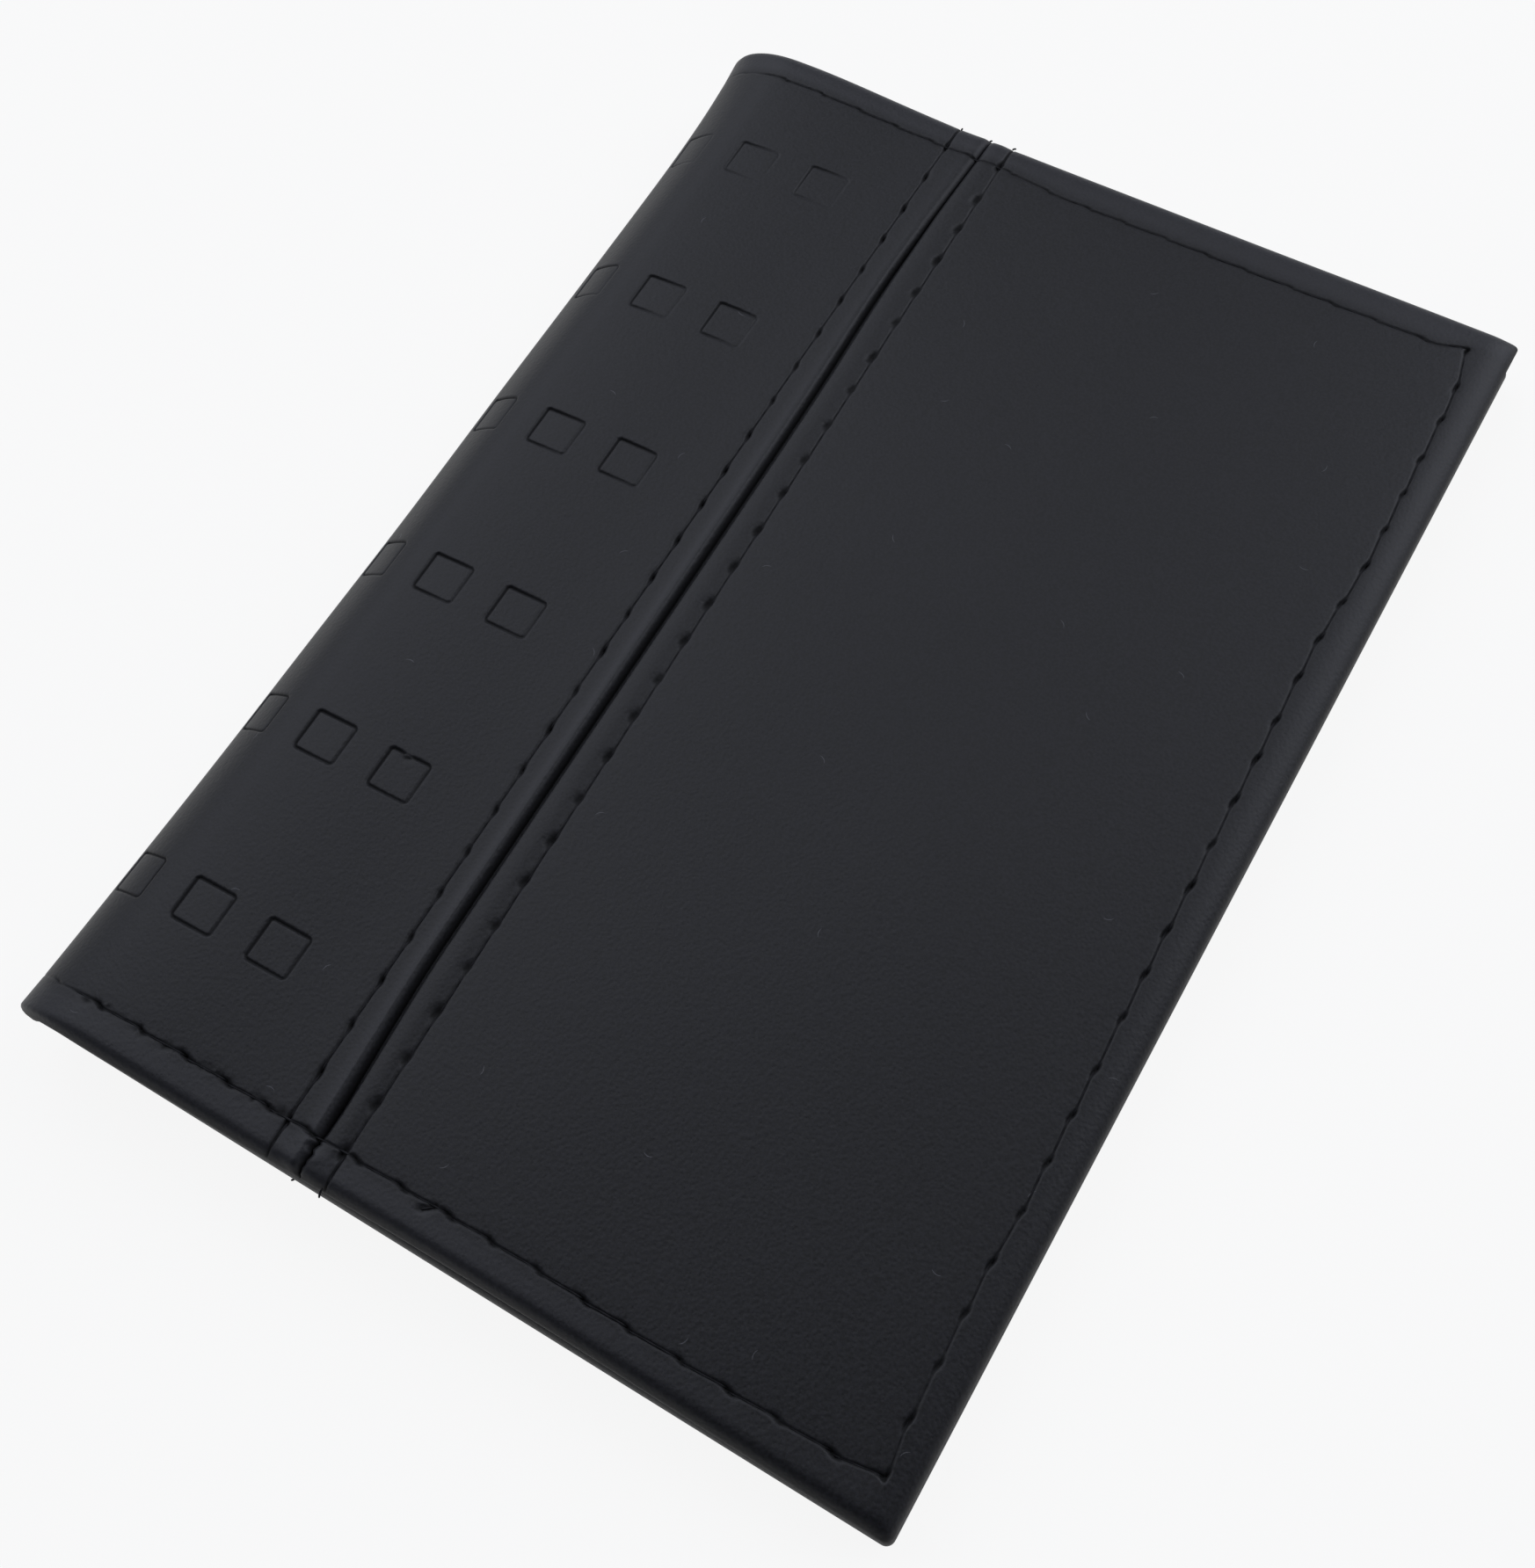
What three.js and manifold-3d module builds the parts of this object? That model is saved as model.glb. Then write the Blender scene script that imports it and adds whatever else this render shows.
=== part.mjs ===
// Document wallet, closed like a book: two padded leather covers, a soft folded spine, and a sleeve pocket
// inside each cover. The outer skin of a cover is two pieces of leather, a wide panel and the spine strip.
// They meet in an open butted seam between two rows of stitches, and their edges are turned in and sewn.
//
// Millimetres, +Z up. The wallet lies on its back cover. X runs from the spine to the fore-edge, and Y from
// the tail to the head. The origin is on the table, under the middle of the wallet.
import * as THREE from 'three';
import { mergeVertices } from 'three/addons/utils/BufferGeometryUtils.js';
import Module from 'manifold-3d';

const wasm = await Module();
wasm.setup();

// Covers and spine
const COVER_LENGTH = 144; // tail edge to head edge
const COVER_WIDTH = 91.5; // fold line to fore-edge
const CORNER = 1.6; // plan radius of the two fore-edge corners
const FOLD_REACH = 9; // how far the closed spine bows out past its fold lines
const FOLD_RISE = 5.6; // half the thickness of the closed spine
const FOLD_GAP = 0.3; // slot along each fold line, where the leather bends
const CLOSED_GAP = 0.3; // left between the two pockets at the fore-edge
const FIT = 0.05; // clearance between layers that lie on each other

// Layers of one cover, outermost first
const LEATHER = 1; // outer skin
const SEAM_TURN = 0.4; // thinned edge that is turned under and glued at the seam
const TAPE = 0.2; // cloth tape behind the seam
const LINING = 0.3; // woven lining
const TURNED_EDGE = 0.7; // thinned edge of the skin, turned in over the lining
const POCKET = 0.7; // sleeve pocket

// Hem: the turned edge round head, fore-edge and tail, sewn through all layers
const HEM_TURN = 9; // cover edge to the raw edge of the turned leather
const HEM_WALL = 1.2; // leather left at the very edge, where the skin rolls over
const HEM_STITCH = 4.5; // head and tail edges to their stitch lines
const FORE_STITCH = 3.9; // fore-edge to its stitch line

// Butted seam between the spine strip and the cover panel
const SEAM_FROM_FOLD = 26.4; // fold line to the middle of the seam
const SEAM_GAP = 1; // open valley between the two turned edges
const SEAM_ROLL = 0.9; // radius of the rolled edges beside the valley
const SEAM_STITCH = 3.35; // middle of the seam to the stitch line on either side
const SEAM_ALLOWANCE = 8; // width that is turned under on either side

// Sewing thread
const STITCH_PITCH = 5.2; // needle hole to needle hole
const THREAD_WIDTH = 0.45; // pressed flat in its groove
const THREAD_HEIGHT = 0.18;
const STITCH_WAVE = 0.05; // half the rise of a stitch between its needle holes

// Sleeve pockets
const POCKET_WIDTH = 58; // fore-edge to the pocket's mouth
const POCKET_INSET = 2; // cover edge to the pocket's own edge

// Debossed squares on the spine strip, in rows along Y
const SQUARE = 4.75;
const SQUARE_DEPTH = 0.25;
const SQUARE_ROWS = 6;
const ROW_END = 17.4; // head and tail edges to the middle of the first row
const COLUMN_FROM_SEAM = 13.9; // middle of the seam to the middle of the first column
const COLUMN_PITCH = 9.1;
const FOLD_COLUMN = 5.7; // fold line to the middle of the column on the fold, along the leather

// Smoothness and cutting room
const ROLL_STEPS = 6;
const CORNER_STEPS = 3;
const FOLD_STEPS = 20;
const SQUARE_STEPS = 4;
const MEASURE_STEPS = 400; // fine steps by which the leather is measured round the fold
const CUT_ROOM = 1; // how far a cutter reaches past the surface that it opens

// Heights in one cover, from its outer face
const seamTop = LEATHER + SEAM_TURN;
const tapeBase = seamTop + FIT;
const tapeTop = tapeBase + TAPE;
const liningBase = tapeTop + THREAD_HEIGHT + 2 * FIT;
const liningTop = liningBase + LINING;
const turnBase = liningTop + FIT;
const hemHeight = turnBase + TURNED_EDGE;
const pocketBase = hemHeight + FIT;
const coverStack = pocketBase + POCKET;

// A needle thread lies just under the surface, in a groove, and passes under a thread that it crosses
const threadDepth = FIT + STITCH_WAVE + THREAD_HEIGHT / 2;
const grooveWidth = THREAD_WIDTH + 4 * FIT;
const hemGroove = THREAD_HEIGHT + 2 * STITCH_WAVE + 2 * FIT;
const crossingDepth = hemGroove + THREAD_HEIGHT / 2;
const seamGroove = hemGroove + THREAD_HEIGHT + FIT;

// Lines in plan
const halfLength = COVER_LENGTH / 2;
const hemLine = halfLength - HEM_STITCH;
const foreLine = COVER_WIDTH - FORE_STITCH;
const stripEdge = SEAM_FROM_FOLD - SEAM_GAP / 2;
const panelEdge = SEAM_FROM_FOLD + SEAM_GAP / 2;
const pocketMouth = COVER_WIDTH - POCKET_WIDTH;
const rowPitch = (COVER_LENGTH - 2 * ROW_END) / (SQUARE_ROWS - 1);

// The covers lean together by the same angle on either side of the middle plane, until their pockets meet at
// the fore-edge. The spine is a half ellipse on that plane, run on until it is level with each cover.
const lean = Math.asin((FOLD_RISE - coverStack - CLOSED_GAP / 2) / COVER_WIDTH);
const runOn = Math.atan((FOLD_REACH * Math.tan(lean)) / FOLD_RISE);
const foldStart = -runOn;
const foldEnd = Math.PI + runOn;
const spineTurns = foldTurns(foldStart, foldEnd, FOLD_STEPS);
const pastFold = CUT_ROOM / FOLD_REACH;
const cutterTurns = [foldStart - pastFold, ...spineTurns, foldEnd + pastFold];

const finish = {
  leather: { color: 0x2b2b2e, roughness: 0.55 },
  padding: { color: 0x6f6b64, roughness: 0.95 },
  tape: { color: 0x1a1a1c, roughness: 0.9 },
  lining: { color: 0x202023, roughness: 0.85 },
  pocket: { color: 0x26262a, roughness: 0.6 },
  thread: { color: 0x121214, roughness: 0.7 },
};

function piece(name, geometry, look) {
  const mesh = new THREE.Mesh(geometry, new THREE.MeshStandardMaterial({ ...finish[look], metalness: 0 }));
  mesh.name = name;
  return mesh;
}

function solidOf(geometry) {
  const bare = new THREE.BufferGeometry();
  bare.setAttribute('position', geometry.getAttribute('position'));
  bare.setIndex(geometry.getIndex());
  const merged = mergeVertices(bare, 1e-4);
  const vertProperties = new Float32Array(merged.getAttribute('position').array);
  const triVerts = new Uint32Array(merged.getIndex().array);
  return new wasm.Manifold(new wasm.Mesh({ numProp: 3, vertProperties, triVerts }));
}

function geometryOf(solid) {
  const mesh = solid.getMesh();
  const geometry = new THREE.BufferGeometry();
  geometry.setAttribute('position', new THREE.BufferAttribute(mesh.vertProperties, 3));
  geometry.setIndex(new THREE.BufferAttribute(mesh.triVerts, 1));
  return geometry;
}

// A block between two limits on each axis, for cutting
function block([x0, x1], [y0, y1], [z0, z1]) {
  const geometry = new THREE.BoxGeometry(x1 - x0, y1 - y0, z1 - z0);
  geometry.translate((x0 + x1) / 2, (y0 + y1) / 2, (z0 + z1) / 2);
  return solidOf(geometry);
}

// A section drawn in X and Z, carried along Y past both ends of the cover
function prismAlongY(shape) {
  const depth = COVER_LENGTH + 2 * CUT_ROOM;
  const settings = { depth, bevelEnabled: false, curveSegments: ROLL_STEPS };
  const geometry = new THREE.ExtrudeGeometry(shape, settings);
  geometry.rotateX(Math.PI / 2);
  geometry.translate(0, depth / 2, 0);
  return solidOf(geometry);
}

// A section drawn in Y and Z, carried along X
function prismAlongX(shape, from, to) {
  const settings = { depth: to - from, bevelEnabled: false, curveSegments: ROLL_STEPS };
  const geometry = new THREE.ExtrudeGeometry(shape, settings);
  const yAxis = new THREE.Vector3(0, 1, 0);
  const zAxis = new THREE.Vector3(0, 0, 1);
  const xAxis = new THREE.Vector3(1, 0, 0);
  geometry.applyMatrix4(new THREE.Matrix4().makeBasis(yAxis, zAxis, xAxis));
  geometry.translate(from, 0, 0);
  return solidOf(geometry);
}

// A flat sheet of cloth, foam or leather, with round corners on its fore-edge side
function sheet([x0, x1], [y0, y1], [z0, z1], corner) {
  const shape = new THREE.Shape();
  shape.moveTo(x0, y0);
  shape.lineTo(x1 - corner, y0);
  shape.absarc(x1 - corner, y0 + corner, corner, -Math.PI / 2, 0, false);
  shape.lineTo(x1, y1 - corner);
  shape.absarc(x1 - corner, y1 - corner, corner, 0, Math.PI / 2, false);
  shape.lineTo(x0, y1);
  const settings = { depth: z1 - z0, bevelEnabled: false, curveSegments: CORNER_STEPS };
  const geometry = new THREE.ExtrudeGeometry(shape, settings);
  geometry.translate(0, 0, z0);
  return geometry;
}

// Joins a row of equal rings into one closed body, with a flat cap on the first and the last ring
function loft(rings, capFaces) {
  const count = rings[0].length;
  const positions = rings.flat().flatMap((point) => point.toArray());
  const faces = [];
  for (let ring = 0; ring + 1 < rings.length; ring += 1) {
    for (let i = 0; i < count; i += 1) {
      const near = ring * count + i;
      const nextNear = ring * count + ((i + 1) % count);
      faces.push(near, nextNear + count, nextNear, near, near + count, nextNear + count);
    }
  }
  const last = (rings.length - 1) * count;
  for (const [a, b, c] of capFaces) {
    faces.push(a, b, c, last + a, last + c, last + b);
  }
  const geometry = new THREE.BufferGeometry();
  geometry.setAttribute('position', new THREE.Float32BufferAttribute(positions, 3));
  geometry.setIndex(faces);
  return geometry;
}

// A point of the spine at a turn round the fold, at a depth under the outer face
function foldPoint(turn, y, depth) {
  const x = -(FOLD_REACH - depth) * Math.sin(turn);
  const z = -(FOLD_RISE - depth) * Math.cos(turn);
  return new THREE.Vector3(x, y, z);
}

function foldTurns(from, to, steps) {
  return Array.from({ length: steps + 1 }, (_, i) => THREE.MathUtils.lerp(from, to, i / steps));
}

// Carries a section, drawn in Y and in depth under the outer face, round the fold of the spine
function foldSweep(section, turns) {
  const rings = turns.map((turn) => section.map((point) => foldPoint(turn, point.x, point.y)));
  return loft(rings, THREE.ShapeUtils.triangulateShape(section, []));
}

function rectangle([y0, y1], [d0, d1]) {
  const corners = [[y0, d0], [y1, d0], [y1, d1], [y0, d1]];
  return corners.map(([y, depth]) => new THREE.Vector2(y, depth));
}

// The turn at which the leather has run a given length from the fold line
function turnAtLength(length) {
  const fine = foldTurns(foldStart, foldEnd, MEASURE_STEPS);
  let run = 0;
  for (let i = 1; i < fine.length; i += 1) {
    const step = foldPoint(fine[i - 1], 0, 0).distanceTo(foldPoint(fine[i], 0, 0));
    if (run + step >= length) {
      return THREE.MathUtils.lerp(fine[i - 1], fine[i], (length - run) / step);
    }
    run += step;
  }
  return foldEnd;
}

// The section of the hem across the wallet's length: a skin that rolls over at head and tail
function hemSection() {
  const roll = hemHeight / 2;
  const shape = new THREE.Shape();
  shape.moveTo(roll - halfLength, 0);
  shape.lineTo(halfLength - roll, 0);
  shape.absarc(halfLength - roll, roll, roll, -Math.PI / 2, Math.PI / 2, false);
  shape.lineTo(roll - halfLength, hemHeight);
  shape.absarc(roll - halfLength, roll, roll, Math.PI / 2, (3 * Math.PI) / 2, false);
  return shape;
}

// The same section round the spine, hollow between the skin and its two turned edges
function hollowHemSection() {
  const roll = hemHeight / 2;
  const shape = new THREE.Shape();
  shape.moveTo(roll - halfLength, 0);
  shape.lineTo(halfLength - roll, 0);
  shape.absarc(halfLength - roll, roll, roll, -Math.PI / 2, Math.PI / 2, false);
  shape.lineTo(halfLength - HEM_TURN, hemHeight);
  shape.lineTo(halfLength - HEM_TURN, turnBase);
  shape.lineTo(halfLength - HEM_WALL, turnBase);
  shape.lineTo(halfLength - HEM_WALL, LEATHER);
  shape.lineTo(HEM_WALL - halfLength, LEATHER);
  shape.lineTo(HEM_WALL - halfLength, turnBase);
  shape.lineTo(HEM_TURN - halfLength, turnBase);
  shape.lineTo(HEM_TURN - halfLength, hemHeight);
  shape.lineTo(roll - halfLength, hemHeight);
  shape.absarc(roll - halfLength, roll, roll, Math.PI / 2, (3 * Math.PI) / 2, false);
  return shape.getPoints(ROLL_STEPS).slice(0, -1);
}

// The section of the cover panel across the wallet's width: rolled at the seam and at the fore-edge
function panelSection() {
  const roll = hemHeight / 2;
  const shape = new THREE.Shape();
  shape.moveTo(panelEdge + SEAM_ROLL, 0);
  shape.lineTo(COVER_WIDTH - roll, 0);
  shape.absarc(COVER_WIDTH - roll, roll, roll, -Math.PI / 2, Math.PI / 2, false);
  shape.lineTo(panelEdge, hemHeight);
  shape.lineTo(panelEdge, SEAM_ROLL);
  shape.absarc(panelEdge + SEAM_ROLL, SEAM_ROLL, SEAM_ROLL, Math.PI, (3 * Math.PI) / 2, false);
  return shape;
}

// The section of the spine strip: cut off at the fold line and rolled at the seam
function stripSection() {
  const shape = new THREE.Shape();
  shape.moveTo(FOLD_GAP, 0);
  shape.lineTo(stripEdge - SEAM_ROLL, 0);
  shape.absarc(stripEdge - SEAM_ROLL, SEAM_ROLL, SEAM_ROLL, -Math.PI / 2, 0, false);
  shape.lineTo(stripEdge, hemHeight);
  shape.lineTo(FOLD_GAP, hemHeight);
  return shape;
}

// Rows of squares are counted from the tail
function rowMiddles() {
  return Array.from({ length: SQUARE_ROWS }, (_, row) => ROW_END - halfLength + row * rowPitch);
}

// Straight grooves for the stitches: the hem line at head and tail, and one line along the seam
function hemGrooves(from, to) {
  const across = [-hemLine, hemLine].map((y) => {
    return block([from, to], [y - grooveWidth / 2, y + grooveWidth / 2], [-CUT_ROOM, hemGroove]);
  });
  return across[0].add(across[1]);
}

function seamLineGroove(x) {
  const past = halfLength + CUT_ROOM;
  return block([x - grooveWidth / 2, x + grooveWidth / 2], [-past, past], [-CUT_ROOM, seamGroove]);
}

// The room under the turned edges of a skin, less deep where the seam allowance lies
function hemCavity(full, allowance) {
  const ends = [HEM_WALL - halfLength, halfLength - HEM_WALL];
  return block(full, ends, [LEATHER, turnBase]).add(block(allowance, ends, [seamTop, turnBase]));
}

function bobbinHemGrooves(from, to, top) {
  const grooves = [-hemLine, hemLine].map((y) => {
    return block([from, to], [y - grooveWidth / 2, y + grooveWidth / 2], [top - hemGroove, top + CUT_ROOM]);
  });
  return grooves[0].add(grooves[1]);
}

// Wide leather panel from the seam to the fore-edge, with its turned edges
function coverPanel() {
  const plan = sheet([0, COVER_WIDTH], [-halfLength, halfLength], [-CUT_ROOM, coverStack], CORNER);
  const outside = prismAlongY(panelSection())
    .intersect(prismAlongX(hemSection(), 0, COVER_WIDTH + CUT_ROOM))
    .intersect(solidOf(plan));
  const hollowFrom = panelEdge + SEAM_ALLOWANCE;
  const seamSide = [panelEdge - CUT_ROOM, hollowFrom + CUT_ROOM];
  const cavity = hemCavity([hollowFrom, COVER_WIDTH - HEM_WALL], seamSide);
  const insideY = [HEM_TURN - halfLength, halfLength - HEM_TURN];
  const middle = (seamTop + turnBase) / 2;
  const opening = block([panelEdge - CUT_ROOM, COVER_WIDTH - HEM_TURN], insideY, [middle, coverStack]);
  const foreX = [foreLine - grooveWidth / 2, foreLine + grooveWidth / 2];
  const foreGroove = block(foreX, [-hemLine, hemLine], [-CUT_ROOM, hemGroove]);
  const solid = outside
    .subtract(cavity)
    .subtract(opening)
    .subtract(hemGrooves(panelEdge - CUT_ROOM, foreLine + grooveWidth / 2))
    .subtract(foreGroove)
    .subtract(seamLineGroove(SEAM_FROM_FOLD + SEAM_STITCH))
    .subtract(bobbinHemGrooves(panelEdge - CUT_ROOM, pocketMouth, hemHeight));
  return geometryOf(solid);
}

// The flat part of the spine strip on one cover, with its debossed squares
function spineStrip() {
  const outside = prismAlongY(stripSection()).intersect(prismAlongX(hemSection(), 0, stripEdge + CUT_ROOM));
  const hollowTo = stripEdge - SEAM_ALLOWANCE;
  const seamSide = [hollowTo - CUT_ROOM, stripEdge + CUT_ROOM];
  const cavity = hemCavity([FOLD_GAP - CUT_ROOM, hollowTo], seamSide);
  const insideY = [HEM_TURN - halfLength, halfLength - HEM_TURN];
  const middle = (seamTop + turnBase) / 2;
  let solid = outside
    .subtract(cavity)
    .subtract(block([FOLD_GAP - CUT_ROOM, stripEdge + CUT_ROOM], insideY, [middle, coverStack]))
    .subtract(hemGrooves(FOLD_GAP - CUT_ROOM, stripEdge + CUT_ROOM))
    .subtract(seamLineGroove(SEAM_FROM_FOLD - SEAM_STITCH))
    .subtract(bobbinHemGrooves(FOLD_GAP - CUT_ROOM, stripEdge + CUT_ROOM, hemHeight));
  for (const y of rowMiddles()) {
    for (const column of [0, 1]) {
      const x = SEAM_FROM_FOLD - COLUMN_FROM_SEAM - column * COLUMN_PITCH;
      const across = [x - SQUARE / 2, x + SQUARE / 2];
      solid = solid.subtract(block(across, [y - SQUARE / 2, y + SQUARE / 2], [-CUT_ROOM, SQUARE_DEPTH]));
    }
  }
  return geometryOf(solid);
}

// The bent part of the spine strip, round the spine, with a column of squares near either fold line
function foldPanel() {
  let solid = solidOf(foldSweep(hollowHemSection(), spineTurns));
  for (const y of [-hemLine, hemLine]) {
    const across = [y - grooveWidth / 2, y + grooveWidth / 2];
    const outer = rectangle(across, [-CUT_ROOM, hemGroove]);
    const inner = rectangle(across, [hemHeight - hemGroove, hemHeight + CUT_ROOM]);
    for (const groove of [outer, inner]) {
      solid = solid.subtract(solidOf(foldSweep(groove, cutterTurns)));
    }
  }
  const squareFrom = turnAtLength(FOLD_COLUMN - SQUARE / 2);
  const squareTo = turnAtLength(FOLD_COLUMN + SQUARE / 2);
  const nearTurns = foldTurns(squareFrom, squareTo, SQUARE_STEPS);
  const farTurns = foldTurns(Math.PI - squareTo, Math.PI - squareFrom, SQUARE_STEPS);
  for (const y of rowMiddles()) {
    const mark = rectangle([y - SQUARE / 2, y + SQUARE / 2], [-CUT_ROOM, SQUARE_DEPTH]);
    solid = solid.subtract(solidOf(foldSweep(mark, nearTurns))).subtract(solidOf(foldSweep(mark, farTurns)));
  }
  return geometryOf(solid);
}

// A thread pressed flat: a four-sided ribbon along its points, with mitred corners
function ribbon(points, outward) {
  const direction = (i, j) => points[j].clone().sub(points[i]).normalize();
  const rings = points.map((point, i) => {
    const arriving = i > 0 ? direction(i - 1, i) : direction(0, 1);
    const leaving = i + 1 < points.length ? direction(i, i + 1) : arriving;
    const out = outward[i];
    const sideIn = arriving.cross(out).normalize();
    const sideOut = leaving.clone().cross(out).normalize();
    const mitre = sideIn.dot(sideOut);
    const side = i + 1 < points.length ? sideIn.add(sideOut).divideScalar(1 + mitre) : sideIn;
    side.multiplyScalar(THREAD_WIDTH / 2);
    const up = out.clone().multiplyScalar(THREAD_HEIGHT / 2);
    return [
      point.clone().add(side).add(up),
      point.clone().sub(side).add(up),
      point.clone().sub(side).sub(up),
      point.clone().add(side).sub(up),
    ];
  });
  return loft(rings, [[0, 1, 2], [0, 2, 3]]);
}

// Points every half stitch along a straight line, deep at the needle holes and high between them
function stitches(from, to, out) {
  const count = 2 * Math.max(1, Math.round(from.distanceTo(to) / STITCH_PITCH));
  return Array.from({ length: count + 1 }, (_, i) => {
    const rise = i % 2 === 0 ? -STITCH_WAVE : STITCH_WAVE;
    return from.clone().lerp(to, i / count).addScaledVector(out, rise);
  });
}

// A sewn line through corner points, each of which is a needle hole
function stitchLine(corners, out) {
  const runs = corners.slice(1).map((corner, i) => stitches(corners[i], corner, out));
  const points = runs.flatMap((run, i) => (i > 0 ? run.slice(1) : run));
  return ribbon(points, points.map(() => out));
}

// Needle thread of the hem, along tail, fore-edge and head on the outer face
function hemThread() {
  const start = FOLD_GAP + FIT;
  const plan = [[start, -hemLine], [foreLine, -hemLine], [foreLine, hemLine], [start, hemLine]];
  const corners = plan.map(([x, y]) => new THREE.Vector3(x, y, threadDepth));
  return stitchLine(corners, new THREE.Vector3(0, 0, -1));
}

// Bobbin thread of the hem on the inner side: on the turned edge first, then up and over the pocket
function hemBobbinThread() {
  const low = hemHeight - threadDepth;
  const high = coverStack - threadDepth;
  const climbFrom = pocketMouth - 2 * TURNED_EDGE;
  const climbTo = pocketMouth - FIT;
  const half = [[FOLD_GAP + FIT, low], [climbFrom, low], [climbTo, high], [foreLine, high]];
  const tail = half.map(([x, z]) => new THREE.Vector3(x, -hemLine, z));
  const head = half.map(([x, z]) => new THREE.Vector3(x, hemLine, z)).reverse();
  return stitchLine([...tail, ...head], new THREE.Vector3(0, 0, 1));
}

// Needle thread beside the seam, from edge to edge, which dips under the hem thread where the two cross
function seamThread(x) {
  const out = new THREE.Vector3(0, 0, -1);
  const at = (y, depth) => new THREE.Vector3(x, y, depth);
  const dip = THREAD_WIDTH;
  const edge = halfLength - hemHeight / 2;
  const run = stitches(at(dip - hemLine, threadDepth), at(hemLine - dip, threadDepth), out).slice(1, -1);
  const tail = [
    at(-edge, threadDepth),
    at(-hemLine - dip, crossingDepth),
    at(dip - hemLine, crossingDepth),
  ];
  const head = tail.map((point) => at(-point.y, point.z)).reverse();
  const points = [...tail, ...run, ...head];
  return ribbon(points, points.map(() => out));
}

// Bobbin thread of the seam, flat on the tape under the lining
function seamBobbinThread(x) {
  const level = tapeTop + FIT + THREAD_HEIGHT / 2;
  const end = halfLength - HEM_WALL - 2 * FIT;
  const points = [-end, end].map((y) => new THREE.Vector3(x, y, level));
  return ribbon(points, points.map(() => new THREE.Vector3(0, 0, 1)));
}

// Hem thread round the spine, on its outer or its inner side
function foldThread(y, depth) {
  let run = 0;
  const points = spineTurns.map((turn, i) => {
    if (i > 0) {
      run += foldPoint(spineTurns[i - 1], y, depth).distanceTo(foldPoint(turn, y, depth));
    }
    return foldPoint(turn, y, depth + STITCH_WAVE * Math.cos((2 * Math.PI * run) / STITCH_PITCH));
  });
  const outward = spineTurns.map((turn) => new THREE.Vector3(-Math.sin(turn), 0, -Math.cos(turn)));
  return ribbon(points, outward);
}

function pocket() {
  const across = [pocketMouth, COVER_WIDTH - POCKET_INSET];
  const along = [POCKET_INSET - halfLength, halfLength - POCKET_INSET];
  const foreX = [foreLine - grooveWidth / 2, foreLine + grooveWidth / 2];
  const grooveZ = [coverStack - hemGroove, coverStack + CUT_ROOM];
  const solid = solidOf(sheet(across, along, [pocketBase, coverStack], CORNER))
    .subtract(bobbinHemGrooves(pocketMouth - CUT_ROOM, foreX[1], coverStack))
    .subtract(block(foreX, [-hemLine, hemLine], grooveZ));
  return geometryOf(solid);
}

// All pieces of one cover, lying flat with its outer face down and its fold line on X = 0
function coverPieces(side) {
  const clear = HEM_WALL + 2 * FIT;
  const along = [clear - halfLength, halfLength - clear];
  const padded = [LEATHER + FIT, liningBase - FIT];
  const stripPadding = [FOLD_GAP, stripEdge - SEAM_ALLOWANCE - FOLD_GAP];
  const panelPadding = [panelEdge + SEAM_ALLOWANCE + FOLD_GAP, COVER_WIDTH - clear];
  const tapeAcross = [stripEdge - SEAM_ALLOWANCE, panelEdge + SEAM_ALLOWANCE];
  const lined = [FOLD_GAP, COVER_WIDTH - clear];
  const stripLine = SEAM_FROM_FOLD - SEAM_STITCH;
  const panelLine = SEAM_FROM_FOLD + SEAM_STITCH;
  const cover = new THREE.Group();
  cover.add(
    piece(`${side}_cover_panel`, coverPanel(), 'leather'),
    piece(`${side}_spine_strip`, spineStrip(), 'leather'),
    piece(`${side}_cover_padding`, sheet(panelPadding, along, padded, CORNER), 'padding'),
    piece(`${side}_strip_padding`, sheet(stripPadding, along, padded, CORNER), 'padding'),
    piece(`${side}_seam_tape`, sheet(tapeAcross, along, [tapeBase, tapeTop], CORNER), 'tape'),
    piece(`${side}_lining`, sheet(lined, along, [liningBase, liningTop], CORNER), 'lining'),
    piece(`${side}_pocket`, pocket(), 'pocket'),
    piece(`${side}_hem_thread`, hemThread(), 'thread'),
    piece(`${side}_hem_bobbin_thread`, hemBobbinThread(), 'thread'),
    piece(`${side}_seam_thread_strip_side`, seamThread(stripLine), 'thread'),
    piece(`${side}_seam_thread_panel_side`, seamThread(panelLine), 'thread'),
    piece(`${side}_seam_bobbin_strip_side`, seamBobbinThread(stripLine), 'thread'),
    piece(`${side}_seam_bobbin_panel_side`, seamBobbinThread(panelLine), 'thread'),
  );
  return cover;
}

// The pieces of the spine, in the frame of its middle plane
function spinePieces() {
  const clear = HEM_WALL + 2 * FIT;
  const along = [clear - halfLength, halfLength - clear];
  const round = (depths) => foldSweep(rectangle(along, depths), spineTurns);
  const innerDepth = hemHeight - threadDepth;
  return [
    piece('spine_fold_panel', foldPanel(), 'leather'),
    piece('spine_padding', round([LEATHER + FIT, liningBase - FIT]), 'padding'),
    piece('spine_lining', round([liningBase, liningTop]), 'lining'),
    piece('spine_tail_thread', foldThread(-hemLine, threadDepth), 'thread'),
    piece('spine_head_thread', foldThread(hemLine, threadDepth), 'thread'),
    piece('spine_tail_bobbin_thread', foldThread(-hemLine, innerDepth), 'thread'),
    piece('spine_head_bobbin_thread', foldThread(hemLine, innerDepth), 'thread'),
  ];
}

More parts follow.
